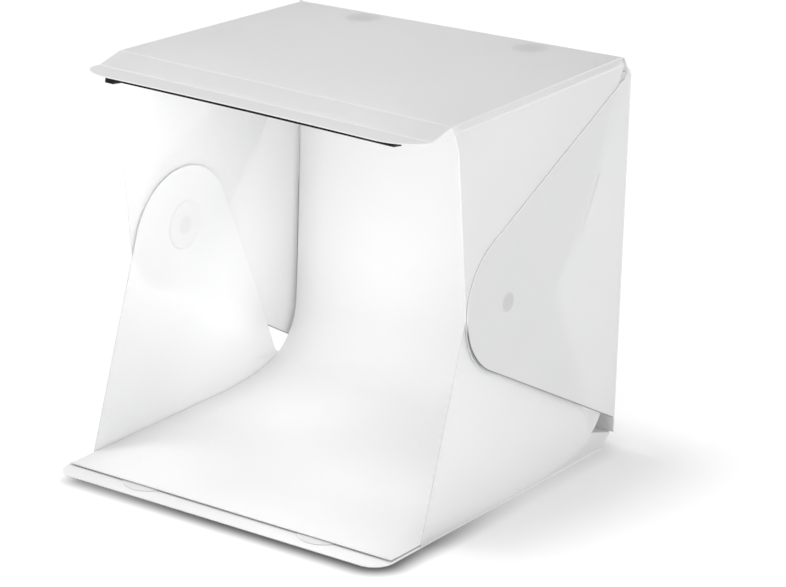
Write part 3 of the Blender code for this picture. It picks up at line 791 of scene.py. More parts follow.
@dataclass(frozen=True)
class Moulded:
    """Moulded or painted parts of the lamp: a flat tone with fine grain and slightly worn, paler edges."""

    name: str
    tone: float
    warmth: float = 0.0
    roughness: float = 0.45
    metallic: float = 0.0
    grain: float = 1500.0
    grain_depth: float = 0.00003
    worn: float = 0.25
    translucent: float = 0.0
    shine: float = 0.5

    def make(self) -> Material:
        """Builds the material.

        Returns:
            The material.
        """
        paint = Painter(self.name)
        cloud = paint.span(paint.noise(60.0, 1.0), 0.3, 0.7, 0.0, 1.0)
        tones = [grey(tone, self.warmth) for tone in (self.tone * 0.9, min(0.98, self.tone * 1.1))]
        worn = grey(min(0.98, self.tone * 1.6 + 0.03), self.warmth)
        edge = paint.maths("MULTIPLY", paint.cut_edge(), self.worn)
        return paint.shade({
            "Base Color": paint.blend(edge, paint.blend(cloud, *tones), worn),
            "Normal": paint.bump(paint.noise(self.grain, 1.0), self.grain_depth),
            "Roughness": paint.span(cloud, 0.0, 1.0, self.roughness - 0.07, self.roughness + 0.07),
            "Metallic": self.metallic,
            "Specular IOR Level": self.shine,
            "Subsurface Weight": self.translucent,
            "Subsurface Radius": (0.001, 0.001, 0.001),
            "Subsurface Scale": 1.0,
        })


@dataclass(frozen=True)
class BoardFinish:
    """The lamp's circuit board: white solder mask, with a pale yellow face on each lamp."""

    name: str
    run: Pair
    count: int = 28

    def make(self) -> Material:
        """Builds the material.

        Returns:
            The material, its lamps found by their spacing along X.
        """
        paint = Painter(self.name)
        across = paint.add("SeparateXYZ", {0: paint.place}).outputs["X"]
        pitch = (self.run[1] - self.run[0]) / self.count
        turn = paint.maths("DIVIDE", paint.maths("SUBTRACT", across, self.run[0]), pitch)
        off = paint.maths("ABSOLUTE", paint.maths("SUBTRACT", paint.maths("FRACT", turn), 0.5))
        lamp = paint.span(off, 0.10, 0.12, 1.0, 0.0)
        board = paint.blend(paint.noise(400.0), grey(0.72), grey(0.80))
        return paint.shade({
            "Base Color": paint.blend(lamp, board, (0.85, 0.72, 0.30, 1.0)),
            "Normal": paint.bump(paint.noise(1200.0), 0.00002),
            "Roughness": 0.4,
        })


# Pieces


def linked(name: str, data: bpy.types.ID) -> bpy.types.Object:
    """Adds an object to the scene.

    Args:
        name: its name.
        data: its mesh, light or camera.

    Returns:
        The object.
    """
    obj = bpy.data.objects.new(name, data)
    bpy.context.scene.collection.objects.link(obj)
    return obj


@dataclass
class Assembly:
    """A group of pieces that is built and reported together."""

    pieces: list[bpy.types.Object] = field(default_factory=list)

    def put(self, name: str, skin: Skin, material: Material, slot: str, bodies: Sequence[str],
            nodes: Sequence[str] = (), ends: Sequence[Triple] = ()) -> bpy.types.Object:
        """Makes a piece, dresses it, hides the solids it stands for, and hangs it on its body when it has
        one.

        Args:
            name: its name.
            skin: its shape.
            material: its material.
            slot: the record's material slot; not used.
            bodies: one body that carries it, or two, for which its place is only baked in.
            nodes: the solids that it stands for.
            ends: where it starts and ends to bend, for two bodies; not used.

        Returns:
            The piece.
        """
        obj = linked(name, skin.mesh(name))
        obj.data.materials.append(material)
        if len(bodies) == 2:
            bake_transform(obj)
        else:
            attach(obj, bodies[0])
        if nodes:
            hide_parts(*nodes)
        self.pieces.append(obj)
        LOG.info("%s: %d points on %s", name, len(obj.data.vertices), " and ".join(bodies))
        return obj

    def film(self, name: str, path: Points, run: Pair, axis: int, bodies: Sequence[str],
             ends: Sequence[Triple] = (), warp: Place = still, sign: float = 1.0, proud: float = 0.00012,
             depth: float = 0.0001, twin: bool = False) -> None:
        """Builds a crease as a thin film over the joint between two plates.

        It stands proud * (1 - s^2) out of its path, with s from -1 to 1 along it. A twin one stands out by
        0.3 of that and by two ridges, proud * exp(-((s -+ 0.55) / 0.2)^2).

        Args:
            name: its name.
            path: its path across the crease, with its outer side on the right.
            run: where it starts and ends along the crease.
            axis: the crease's axis, 0, 1 or 2.
            bodies: what it moves with.
            ends: where it bends.
            warp: how it sags.
            sign: the sign of X on its side.
            proud: how far it stands out.
            depth: how far it reaches in.
            twin: whether it has two ridges side by side.
        """
        s = np.linspace(-1.0, 1.0, len(path))
        lift = proud * (1.0 - s * s)
        if twin:
            lift = 0.3 * lift + proud * sum(np.exp(-(((s + off) / 0.2) ** 2)) for off in (0.55, -0.55))
        outward = normals(path)
        section = np.vstack([path + outward * lift[:, None], (path - outward * depth)[::-1]])
        order = ([0, 1, 2], [1, 0, 2], [1, 2, 0])[axis]
        skin = carried_skin(section, np.linspace(*run, 41))
        skin = skin.moved(lambda points: warp(points[:, order] * (sign, 1.0, 1.0)))
        self.put(name, skin, crease_material(axis), "white_sheet", bodies, (), ends)


@dataclass(frozen=True)
class Cover:
    """The thin round cover over a magnet: a low pillow with a soft rim, its cut rim painted dark as shade."""

    diameter: float = 0.047
    crown: float = 0.00012
    tone: float = 0.84
    # the cut rim's tone: painted dark as the shade round the cover's edge
    edge_tone: float = 0.30
    roughness: float = 0.36
    edge: float = 0.0002
    foot: float = 0.00008
    rim: float = 0.0008
    shoulder: float = 0.0030
    slope: float = 0.0070
    around: int = 96

    def build(self, owner: Assembly, stem: str, centre: Pair, place: Place, body: str, axis: int) -> None:
        """Builds one cover.

        Args:
            owner: the assembly that it belongs to.
            stem: the first part of its name.
            centre: its middle on the plate.
            place: the plate's place in the tent.
            body: the body that carries it.
            axis: the axis that it faces.
        """
        r, t = self.diameter / 2, TENT.cover
        lift = t + self.crown
        profile = [
            (r * 0.5, 0.0), (r - self.edge, 0.0), (r, self.foot), (r, t * 0.6), (r - self.edge, t * 0.9),
            (r - self.rim, t), (r - self.shoulder, t + self.crown * 0.55), (r - self.slope, lift),
            (r * 0.3, lift),
        ]
        shift = np.array([*centre, TENT.sheet + TENT.gap])
        skin = turned_skin(profile, self.around).moved(lambda points: place(points + shift))
        middle = tuple(map(float, place(shift[None])[0]))
        spot = Spot(middle, axis, ring=r - self.rim, depth=0.10)
        film = WhitePlastic(f"{stem}_cover_film", self.tone, self.edge_tone, self.roughness, (spot,))
        owner.put(f"{stem}_cover", skin, film.make(), "cover_film", [body], [f"{stem}_magnet_cover"])


@dataclass
class Chain(Assembly):
    """The long sheet: base, bevels, back, top, bands and visor."""

    spacing: float = 0.012
    sharp: float = 0.0004
    reach: float = 0.0009
    twin_reach: float = 0.0017
    base_magnet: Pair = (0.101, 0.0343)
    top_magnet: Pair = (0.097, 0.022)
    top_cover: float = 0.034
    top_ring: float = 0.017
    foot_crease_end: float = 0.0015
    top_bend: Pair = (0.0008, 0.0012)
    band_round: float = 0.00012
    band_end_round: float = 0.0001
    spine_half: float = TENT.base_wing_plane - TENT.sheet - TENT.gap

    def plate(self, name: str, crease: Pair, angle: float, depth: float, bends: Sequence[float | None],
              half: float, body: str, nodes: Sequence[str], warp: Place = still, inner_half: float = 0.0,
              near: float = 0.0, far: float = 0.0, **look: object) -> None:
        """Builds one plate of the chain.

        Args:
            name: its name.
            crease: where it starts.
            angle: its angle.
            depth: how far it reaches from there.
            bends: how far its near and its far crease close, or None for a free edge.
            half: half its width.
            body: the body that carries it.
            nodes: the solids that it stands for.
            warp: how it sags.
            inner_half: half the width of its inner face, if that is another.
            near: the radius of round corners at its near edge.
            far: the same at its far edge.
            look: its plastic's own values.
        """
        cuts = [(0.0, 0.0) if bend is None else (TENT.gap / 2, TENT.setback(bend)) for bend in bends]
        radii = [near or self.sharp] * 2 + [far or self.sharp] * 2
        faces = []
        for width, start, end in zip((half, inner_half or half), *cuts):
            corners = np.array([(-width, start), (width, start), (width, depth - end), (-width, depth - end)])
            faces.append(rounded_loop(corners, radii))
        middle = (0.0, (cuts[0][0] + depth - cuts[1][0]) / 2)
        skin = plate_skin(*faces, middle, TENT.rounding, self.spacing)
        material = WhitePlastic(f"{name}_plastic", **look).make()
        skin = skin.moved(lambda points: warp(chain_place(points, crease, angle)))
        self.put(name, skin, material, "white_sheet", [body], nodes)

    def crease(self, name: str, crease: Pair, angles: Pair, half: float, bodies: Sequence[str],
               ends: Sequence[Triple] = (), twin: bool = False, **more: object) -> None:
        """Builds the film over a crease that runs along X, from the plate before it to the plate after it.

        Args:
            name: its name.
            crease: the crease.
            angles: the angles of the plates before and after it.
            half: half its length.
            bodies: what it moves with.
            ends: where it bends, if not right across the crease.
            twin: whether it has two ridges.
            more: other values of the film.
        """
        reach, count = (self.twin_reach, 17) if twin else (self.reach, 11)
        before, after = along(crease, -reach, angles[0]), along(crease, reach, angles[1])
        path = bent_path(before, crease, after, count)
        ends = ends or ((0.0, *before), (0.0, *after))
        self.film(f"{name}_crease", path, (-half, half), 0, bodies, ends, twin=twin, **more)

    def build(self) -> None:
        """Builds the whole chain."""
        upright = math.pi / 2
        low, high = upright - TENT.bottom_angle, TENT.top_spine_angle - upright
        over = math.pi - TENT.top_spine_angle
        self.build_base()
        # the back wall's paler tone is painted light on the same sheet
        self.plate("back_wall", TENT.back_foot, upright, TENT.back_head[1] - TENT.back_foot[1], (low, high),
                   TENT.half, "back", ["back_panel"], tone=0.84)
        self.plate("rear_bevel", TENT.back_head, TENT.top_spine_angle, TENT.top_spine, (high, over),
                   TENT.flap_plane, "top_spine", ["top_spine"], STANCE.top_spine)
        self.build_top(over)
        self.build_visor()
        self.crease("back_foot", TENT.back_foot, (TENT.bottom_angle, upright),
                    TENT.base_wing_plane - self.foot_crease_end, ["base", "back"])
        self.crease("back_head", TENT.back_head, (upright, TENT.top_spine_angle), TENT.flap_plane,
                    ["back", "top_spine"])
        left, right = STANCE.top(np.array([(sign * TENT.top_half, *TENT.top_rear) for sign in (-1, 1)]))
        slope = (right - left) / np.linalg.norm(right - left)
        forward = np.array([0.0, -1.0, 0.0]) + slope[1] * slope
        ends = (tuple(left - self.top_bend[0] * forward), tuple(left + self.top_bend[1] * forward))
        self.crease("top_rear", TENT.top_rear, (TENT.top_spine_angle, math.pi), TENT.top_half,
                    ["top_spine", "top"], ends, warp=STANCE.top)

    def build_base(self) -> None:
        """The base, its covers and the bevel behind it."""
        x, y = self.base_magnet
        spots = tuple(Spot((side.value * x, TENT.front + y, 0.0), 2, depth=0.45) for side in Side)
        # the base's tone is set as painted light for how it is lit
        self.plate("base_floor", (TENT.front, 0.0), 0.0, TENT.base_rear[0] - TENT.front,
                   (None, TENT.bottom_angle), TENT.base_half, "base",
                   ["base_panel", "left_base_magnet", "right_base_magnet"], near=TENT.base_corner, tone=0.72,
                   spots=spots, through=0.0)
        place = partial(chain_place, crease=(TENT.front, 0.0), angle=0.0)
        for side in Side:
            Cover().build(self, f"{side.word}_base", (side.value * x, y), place, "base", 2)
        bends = (TENT.bottom_angle, math.pi / 2 - TENT.bottom_angle)
        # the bevel's pale tone is painted light in the shaded hollow behind the base
        self.plate("foot_bevel", TENT.base_rear, TENT.bottom_angle, TENT.bottom_spine, bends, self.spine_half,
                   "base", ["bottom_spine"], tone=0.90, through=0.5)
        angles = (0.0, TENT.bottom_angle)
        self.crease("base_rear", TENT.base_rear, angles, self.spine_half, ["base"], proud=0.0)

    def build_top(self, rear_bend: float) -> None:
        """The top, its covers and the leaning band along each side.

        Args:
            rear_bend: how far the crease behind it closes.
        """
        x, y = self.top_magnet
        middles = [(side.value * x, TENT.top_rear[0] - y, TENT.height) for side in Side]
        spots = tuple(Spot(middle, 2, ring=self.top_ring, depth=0.06) for middle in middles)
        self.plate("roof", TENT.top_rear, math.pi, TENT.top_depth, (rear_bend, TENT.visor_bend),
                   TENT.top_half - TENT.gap / 2, "top", ["top_panel", "left_top_magnet", "right_top_magnet"],
                   STANCE.top, TENT.top_half - TENT.setback(math.pi / 2 - TENT.band_tilt), spots=spots)

        def place(points: Points) -> Points:
            """Puts the top's flat points into the tent."""
            return STANCE.top(chain_place(points, TENT.top_rear, math.pi))

        for side in Side:
            Cover(self.top_cover).build(self, f"{side.word}_top", (side.value * x, y), place, "top", 2)
        for side in Side:
            self.build_band(side)

    def build_band(self, side: Side) -> None:
        """The band from the top's edge out to the flap's crease, and the crease over it.

        Args:
            side: which side.
        """
        tilt, width = TENT.band_tilt, math.hypot(TENT.band_out, TENT.band_drop)
        run = np.array([math.sin(tilt), -math.cos(tilt)])
        inward = TENT.sheet * np.array([-math.cos(tilt), -math.sin(tilt)])
        start = np.array([TENT.top_half, TENT.height])
        corners = np.array([
            start + run * TENT.setback(math.pi / 2 - tilt) + inward,
            start + run * (width - TENT.setback(tilt)) + inward,
            start + run * (width - TENT.gap / 2),
            start + run * TENT.gap / 2,
        ])
        section = rounded_loop(corners, [self.band_round] * 4)
        y_range = (TENT.top_front[0] + TENT.band_end, TENT.top_rear[0] - TENT.band_end)

        def place(points: Points) -> Points:
            """Puts (along, across, up) on this side of the tent."""
            return STANCE.top(points[:, [1, 0, 2]] * (side.value, 1.0, 1.0))

        skin = carried_skin(section, np.linspace(*y_range, 25), self.band_end_round).moved(place)
        # the band's paler tone is painted light on the same sheet
        material = WhitePlastic(f"{side.word}_band_plastic", 0.80).make()
        self.put(f"{side.word}_roof_band", skin, material, "white_sheet", ["top"], [f"{side.word}_top_band"])
        path = bent_path(start - (self.reach, 0.0), start, start + run * self.reach)[::-1]
        self.film(f"{side.word}_roof_edge_crease", path, y_range, 1, ["top"], (), STANCE.top, side.value)

    def build_visor(self) -> None:
        """The visor's strip and its rounded tab."""
        half, strip, tab = TENT.top_half, TENT.strip_angle, TENT.tab_angle
        # the strip's and the tab's tones are set apart as painted light and shade
        self.plate("visor_slope", TENT.top_front, strip, TENT.strip_depth, (TENT.visor_bend, TENT.tab_bend),
                   half, "visor", ["visor_strip"], tone=0.74)
        self.plate("visor_lip", TENT.visor_crease, tab, TENT.tab_depth, (TENT.tab_bend, None), half,
                   "visor_tab", ["visor_tab"], STANCE.tab, far=TENT.tab_corner, tone=0.69, through=0.0)
        self.crease("visor_root", TENT.top_front, (math.pi, strip), half, ["top", "visor"])
        self.crease("visor_lip", TENT.visor_crease, (strip, tab), half, ["visor", "visor_tab"], twin=True)


@dataclass(frozen=True)
class Leaf:
    """One kind of leaf: where it lies and how it looks. Its centre sees the whole outline."""

    part: str
    plane: float
    centre: Pair
    magnet: Pair
    # the sheet's tone on this leaf, raised or lowered per leaf as painted light for how brightly it is lit
    tone: float
    # painted tones of the cut edges on the left and on the right side: paler as painted highlight, darker as
    # painted shade
    edge_tones: Pair
    through: float
    rounding: float = 0.00045
    # below this height the cut edge is painted dark as shade
    shaded_below: float = 0.0


# The back wing's lower cut edge is painted dark as the shade under it. The flap's edge is painted greyer on
# the left than on the right, and the base wing's edge darker than its face, as painted shade.
BACK_WING = Leaf("back_wing", TENT.half, (0.10, 0.2), (-0.0035, 0.2025), 0.86, (0.98, 0.98), 0.20,
                 shaded_below=0.205)
TOP_FLAP = Leaf("top_flap", TENT.flap_plane, (0.02, 0.28), (-0.001, 0.1985), 0.84, (0.85, 0.98), 0.20)
BASE_WING = Leaf("base_wing", TENT.base_wing_plane, (0.0, 0.045), (0.0015, 0.1945), 0.92, (0.75, 0.75), 0.28,
                 TENT.rounding)


@dataclass
class Leaves(Assembly):
    """The three leaves of each side, with their covers and hinge creases. A magnet shows as a spot."""

    spacing: float = 0.010
    rear: float = TENT.inner_back - TENT.gap
    wing_radius: float = 0.068
    wing_head: float = TENT.height - 0.0162
    ear: tuple[Pair, Pair, Pair] = ((-0.0008, 0.0040), (-0.0034, 0.0040), (-0.0085, -0.0042))
    ear_radii: Pair = (0.0008, 0.0010)
    flap_nose: Pair = (0.0, 0.201)
    flap_radius: float = 0.0685
    flap_flare: Pair = (0.0075, -0.019)
    flap_knee: Pair = (-0.060, -0.130)
    flap_radii: Pair = (0.025, 0.090)
    base_nose: Pair = (0.002, 0.183)
    base_radius: float = 0.071
    base_front: float = TENT.front + 0.0673
    base_knee: Pair = (TENT.rear - 0.038, 0.0235)
    base_knee_radius: float = 0.003
    film_depth: float = 0.00008
    wing_film: tuple[float, float, float] = (0.0010, 0.0006, 0.0016)
    wing_bend_end: float = 0.0009
    wing_film_foot: float = 0.0002
    wing_film_head: float = 0.0003
    magnet_height: float = 0.2
    flap_film: float = 0.0012
    flap_bend_reach: float = 0.001
    flap_proud: float = 0.0002
    base_film: Pair = (0.0008, 0.0009)
    base_film_foot: float = 0.00015
    base_film_front: float = 0.068
    base_proud: float = 0.0001

    def back_wing(self) -> Points:
        """The outer leaf's outline, which comes forward from the back, with an ear at its upper corner.

        Returns:
            The outline in Y and Z.
        """
        foot, head = (self.rear, TENT.wing_foot), (self.rear, self.wing_head)
        low, high, end = (np.add(head, offset) for offset in self.ear)
        tops = [rounded(head, low, high, self.ear_radii[0]), rounded(low, high, end, self.ear_radii[1])]
        return np.vstack([foot, head, *tops, end, nose(TENT.wing_nose, self.wing_radius, head, foot)])

    def top_flap(self, hung: bool) -> Points:
        """The middle leaf's outline, which hangs from the band.

        Args:
            hung: whether its rear corner takes the top's drop.

        Returns:
            The outline in Y and Z.
        """
        head = TENT.flap_head - TENT.setback(TENT.band_tilt)
        rear = (TENT.top_rear[0] - TENT.band_end, head)
        front = (TENT.top_front[0] + TENT.band_end, head)
        flare, knee = np.add(front, self.flap_flare), np.add(rear, self.flap_knee)
        tip = nose(self.flap_nose, self.flap_radius, flare, knee)
        if hung:
            rear, front = STANCE.top(np.array([(-TENT.flap_plane, *end) for end in (rear, front)]))[:, 1:]
        neck = rounded(front, flare, tip[0], self.flap_radii[0])
        return np.vstack([rear, front, neck, tip, rounded(tip[-1], knee, rear, self.flap_radii[1])])

    def base_wing(self) -> Points:
        """The inner leaf's outline, which stands on the base's edge.

        Returns:
            The outline in Y and Z.
        """
        floor, slope = TENT.sheet + TENT.gap, math.tan(TENT.bottom_angle)
        front_foot = (self.base_front, floor)
        rear_foot = (TENT.base_rear[0] + floor / slope, floor)
        tail_low = (self.rear, (self.rear - TENT.base_rear[0]) * slope)
        tail_high = (self.rear, tail_low[1] + TENT.sheet)
        tip = nose(self.base_nose, self.base_radius, self.base_knee, front_foot)
        bend = rounded(tail_high, self.base_knee, tip[0], self.base_knee_radius)
        return np.vstack([front_foot, rear_foot, tail_low, tail_high, bend, tip])

    def leaf(self, side: Side, leaf: Leaf, outline: Points, warp: Place) -> None:
        """Builds one leaf and its cover.

        Args:
            side: which side.
            leaf: its kind.
            outline: its outline in Y and Z.
            warp: how it sags.
        """
        body = f"{side.word}_{leaf.part}"
        place = partial(leaf_place, plane=leaf.plane, sign=side.value)
        skin = plate_skin(outline, outline, leaf.centre, leaf.rounding, self.spacing)
        spot = Spot((side.value * leaf.plane, *leaf.magnet), 0, depth=0.26)
        # the cut edge's painted highlight or painted shade is picked by side
        edge = leaf.edge_tones[side is Side.RIGHT]
        material = WhitePlastic(f"{body}_plastic", leaf.tone, edge, spots=(spot,), through=leaf.through,
                                shaded_below=leaf.shaded_below).make()
        skin = skin.moved(lambda points: warp(place(points)))
        self.put(f"{body}_leaf", skin, material, "white_sheet", [body], [body, f"{body}_magnet"])
        # the leaf's cover: its tone follows the leaf's painted tone, its rim is painted grey as shade
        Cover(tone=min(0.93, leaf.tone + 0.02), edge_tone=0.60).build(self, body, leaf.magnet, place, body, 0)

    def build(self) -> None:
        """Builds both sides."""
        for side in Side:
            left = side is Side.LEFT
            self.leaf(side, BACK_WING, self.back_wing(), partial(STANCE.back_wing, side=side))
            self.leaf(side, TOP_FLAP, self.top_flap(left), STANCE.left_flap if left else still)
            self.leaf(side, BASE_WING, self.base_wing(), STANCE.left_base_wing if left else still)
            self.build_hinges(side)

    def build_hinges(self, side: Side) -> None:
        """The hinge creases of a side: round the back's corner, under the band and along the base's edge.

        Args:
            side: which side.
        """
        sign, word, depth = side.value, side.word, self.film_depth
        half, rear, inner = TENT.half, TENT.rear, TENT.inner_back
        onto, turn, past = self.wing_film
        straight = np.linspace(rear - onto, inner - past, 4)
        path = np.vstack([
            bent_path((half - onto, rear), (half, rear), (half, rear - turn), 7),
            np.column_stack([0 * straight + half, straight]),
        ])[::-1]
        ends = [(sign * half, y, self.magnet_height) for y in (rear - turn, inner - self.wing_bend_end)]
        run = (TENT.wing_foot + self.wing_film_foot, TENT.back_head[1] - self.wing_film_head)
        self.film(f"{word}_back_wing_crease", path, run, 2, ["back", f"{word}_back_wing"], ends, sign=sign,
                  depth=depth)

        edge, reach = np.array([TENT.flap_plane, TENT.flap_head]), self.flap_film
        up = np.array([-math.sin(TENT.band_tilt), math.cos(TENT.band_tilt)])
        path = bent_path(edge - (0.0, reach), edge, edge + up * reach)
        y_ends = (TENT.top_front[0], TENT.top_rear[0])
        front, back = STANCE.top(np.array([(sign * edge[0], y, edge[1]) for y in y_ends]))
        slope = back - front
        across = self.flap_bend_reach * np.array([0.0, -slope[2], slope[1]]) / np.linalg.norm(slope)
        run = (y_ends[0] + TENT.band_end, y_ends[1] - TENT.band_end)
        self.film(f"{word}_top_flap_crease", path, run, 1, ["top", f"{word}_top_flap"],
                  (tuple(front + across), tuple(front - across)), STANCE.top, sign, self.flap_proud, depth)

        x, foot = TENT.base_wing_plane, TENT.sheet + self.base_film_foot
        out, rise = self.base_film
        path = bent_path((x + out, foot - self.base_film_foot / 3), (x, foot), (x, foot + rise), 9)
        run = (TENT.front + self.base_film_front, TENT.base_rear[0])
        ends = ((sign * x, 0.0, foot), (sign * x, 0.0, foot + out))
        self.film(f"{word}_base_wing_crease", path, run, 1, ["base", f"{word}_base_wing"], ends, sign=sign,
                  proud=self.base_proud, depth=depth)


@dataclass
class Backdrop(Assembly):
    """The loose sheet that lies on the base, sweeps up and leans on the back."""

    thick: float = 0.0006
    apron: float = 0.0219
    sweep: float = 0.124
    lift_radius: float = 0.268
    lift_angle: float = math.radians(16.0)
    lift_step: float = 0.8
    lean: float = 0.006
    drop: float = 0.0153
    side_play: float = 0.0005
    side_round: float = 0.0002
    side_face: Pair = (0.3, 0.7)
    curl: float = 0.0005
    curl_run: float = 0.030
    rows: int = 171
    columns: int = 13
    bend: tuple[Triple, Triple] = ((0.0, 0.12, 0.0), (0.0, 0.19, 0.075))

    def section(self) -> tuple[Points, float]:
        """The sheet's underside as a line, from its front edge to its upper edge.

        It is flat, with its front edge curled up by curl * (1 - run)^2, then goes through a slow arc of the
        lift radius and a quick arc, and straight on to the back.

        Returns:
            The line's points in Y and Z at even spacing, and its length.
        """
        raised = TENT.gap + TENT.cover + TENT.gap
        floor, wall = TENT.sheet + raised, TENT.inner_back - raised
        tilt, level = self.lift_angle, -math.pi / 2
        lifted = (TENT.rear - self.sweep, floor + self.lift_radius)
        slow = arc(lifted, self.lift_radius, level, level + tilt, self.lift_step)
        radius = (wall - self.lean - slow[-1][0]) / (1.0 - math.sin(tilt))
        centre = slow[-1] + radius * np.array([-math.sin(tilt), math.cos(tilt)])
        quick = arc(centre, radius, level + tilt, 0.0)
        run = np.linspace(0.0, 1.0, 9)
        front = TENT.front + self.apron
        curl = np.column_stack([front + self.curl_run * run, floor + self.curl * (1.0 - run) ** 2])
        line = np.vstack([curl, slow, quick[1:], (wall, TENT.back_head[1] - self.drop)])
        lengths = np.append(0.0, np.cumsum(np.linalg.norm(np.diff(line, axis=0), axis=1)))
        at = np.linspace(0.0, lengths[-1], self.rows)
        even = np.column_stack([np.interp(at, lengths, line[:, axis]) for axis in range(2)])
        return even, float(lengths[-1])

    def build(self) -> None:
        """Rolls the flat sheet along its section, with rounded side edges."""
        line, length = self.section()
        half, t = TENT.base_wing_plane - TENT.sheet - self.side_play, self.thick
        up = -normals(line)
        across = np.linspace(self.side_round - half, half - self.side_round, self.columns)
        lower = np.column_stack([across, 0 * across])
        upper = np.column_stack([across[::-1], 0 * across + t])
        low, high = (t * share for share in self.side_face)
        loop = np.vstack([(-half, low), lower, (half, low), (half, high), upper, (-half, high)])
        rolled = [line[:, None, i] + up[:, None, i] * loop[None, :, 1] for i in (0, 1)]
        rings = np.stack([np.repeat(loop[None, :, 0], len(line), axis=0), *rolled], axis=2)
        marks = np.zeros(len(line))
        marks[[0, -1]] = 1.0
        material = BackdropVinyl("backdrop_vinyl").make()
        obj = self.put("backdrop_sweep", Skin(rings, marks), material, "backdrop", ["base", "back"],
                       ["backdrop_sheet"], self.bend)
        LOG.info("backdrop: flat %.3f x %.3f m", 2 * half, length)


def dress(node: str, material: Material) -> None:
    """Gives a solid that stays its material."""
    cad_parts[node].data.materials.clear()
    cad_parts[node].data.materials.append(material)


@dataclass
class LampBar(Assembly):
    """The black lamp bar under the visor's tab."""

    length: float = 0.322
    offset: float = 0.002
    width: float = 0.012
    height: float = 0.0040
    wall: float = 0.001
    from_crease: float = 0.0185
    tape: float = 0.0005
    cap: float = 0.003
    channel_rounds: Pair = (0.0005, 0.0003)
    channel_lip: float = 0.0002
    cap_rounds: Pair = (0.0006, 0.0005)
    strip_faces: Pair = (0.0003, 0.0012)
    connector_length: float = 0.010
    connector_height: float = 0.0070
    connector_round: float = 0.0005
    mouth: Pair = (0.0060, 0.0034)
    mouth_depth: float = 0.007
    mouth_lip: float = 0.0003
    crown: float = 0.0004
    black: Callable[..., Moulded] = partial(Moulded, roughness=0.45, worn=0.3, shine=0.2)

    def place(self, points: Points) -> Points:
        """Puts (along X, along the tab, down from its outer face) into the tent."""
        points = points + (0.0, self.from_crease, 0.0)
        return STANCE.tab(chain_place(points, TENT.visor_crease, TENT.tab_angle))

    def add(self, name: str, skin: Skin, material: Material, slot: str, node: str) -> None:
        """Puts one piece of the lamp under the tab."""
        self.put(name, skin.moved(self.place), material, slot, ["visor_tab"], [node])

    def build(self) -> None:
        """Builds the channel, diffuser, end cap and connector, and dresses the board, tape and pins."""
        g, half = TENT.gap, self.width / 2
        left, right = self.offset - self.length / 2, self.offset + self.length / 2
        channel = (left + self.connector_length + g, right - self.cap - g)
        inside = (channel[0] + g, channel[1] - g)
        top = TENT.sheet + g + self.tape + g
        bottom = top + self.height
        edges = []
        for wall, radius in zip((0.0, self.wall), self.channel_rounds):
            x, z = half - wall, top + wall
            corners = np.array([(-x, bottom), (-x, z), (x, z), (x, bottom)])
            edges.append(rounded_loop(corners, [self.channel_lip, radius, radius, self.channel_lip]))
        section = np.vstack([edges[0], edges[1][::-1]])[::-1]
        black = self.black("lamp_black_channel", 0.006, roughness=0.5, worn=0.2).make()
        skin = carried_skin(section, np.linspace(*channel, 33))
        self.add("lamp_channel", skin, black, "lamp_black", "lamp_housing")
        self.build_diffuser(inside, half - self.wall - g, bottom)
        loop = rounded_box((half, self.height / 2), self.cap_rounds[0], (0.0, (top + bottom) / 2))
        skin = carried_skin(loop, np.linspace(right - self.cap, right, 4), self.cap_rounds[1])
        black = self.black("lamp_black_cap", 0.008).make()
        self.add("lamp_plug_cap", skin, black, "lamp_black", "lamp_end_cap")
        self.build_connector(left, top)
        dress("lamp_board", BoardFinish("lamp_board_finish", inside).make())
        tape = Moulded("lamp_foam_tape", 0.70, roughness=0.8, grain=700.0, grain_depth=0.00008)
        dress("lamp_tape", tape.make())
        for side in Side:
            dress(f"{side.word}_lamp_pin", Moulded(f"{side.word}_pin_gold", 0.62, 0.25, 0.25, 1.0).make())

    def build_diffuser(self, run: Pair, half: float, bottom: float) -> None:
        """The milky strip that closes the channel: its section's lower side is crowned by crown * (1 - u^2).

        Args:
            run: where it starts and ends along X.
            half: half its width.
            bottom: the channel's lower edge.
        """
        u = np.linspace(-1.0, 1.0, 15)
        lower, upper = (bottom - depth for depth in self.strip_faces)
        crown = np.column_stack([u * half, lower + self.crown * (1 - u * u)])
        section = np.vstack([crown, np.column_stack([u[::-1] * half, 0 * u + upper])])[::-1]
        skin = carried_skin(section, np.linspace(*run, 33))
        milky = Moulded("lamp_milky_diffuser", 0.90, 0.01, 0.3, grain=3000.0, worn=0.0, translucent=0.5)
        self.add("lamp_light_strip", skin, milky.make(), "lamp_diffuser", "lamp_diffuser")

    def build_connector(self, left: float, top: float) -> None:
        """The block with the two-pin inlet: its rings shrink into the mouth at the outer end.

        A ring is its X, half its width, half its height, its corners' radius and its share of cut edge.

        Args:
            left: the lamp's left end.
            top: the lamp's upper face.
        """
        half, tall = self.width / 2, self.connector_height / 2
        mouth_half, mouth_tall = self.mouth[0] / 2, self.mouth[1] / 2
        end, deep = left + self.connector_length, left + self.mouth_depth
        r, eased, lip = self.connector_round, 0.3 * self.connector_round, self.mouth_lip
        centre = (0.0, top + tall)
        rings = [
            (end, half - r, tall - r, 0.0003, 0.0),
            (end - eased, half - eased, tall - eased, 0.0006, 1.0),
            (end - r, half, tall, 0.0008, 0.0),
            (left + 0.004, half, tall, 0.0008, 0.0),
            (left + r, half, tall, 0.0008, 0.0),
            (left + eased, half - eased, tall - eased, 0.0006, 1.0),
            (left, half - r, tall - r, 0.0004, 0.3),
            (left, mouth_half + lip, mouth_tall + lip, 0.0005, 0.6),
            (left + lip, mouth_half, mouth_tall, 0.0004, 0.0),
            (deep, mouth_half, mouth_tall, 0.0004, 0.0),
        ]
        loops = [(at, rounded_box((a, b), radius, centre)) for at, a, b, radius, _ in rings]
        points = np.array([np.column_stack([np.full(len(loop), at), loop]) for at, loop in loops])
        marks = np.array([mark for *_, mark in rings])
        skin = Skin(points, marks, np.array([[end, *centre], [deep, *centre]]))
        black = self.black("lamp_black_block", 0.007).make()
        self.add("lamp_inlet_block", skin, black, "lamp_black", "lamp_connector")


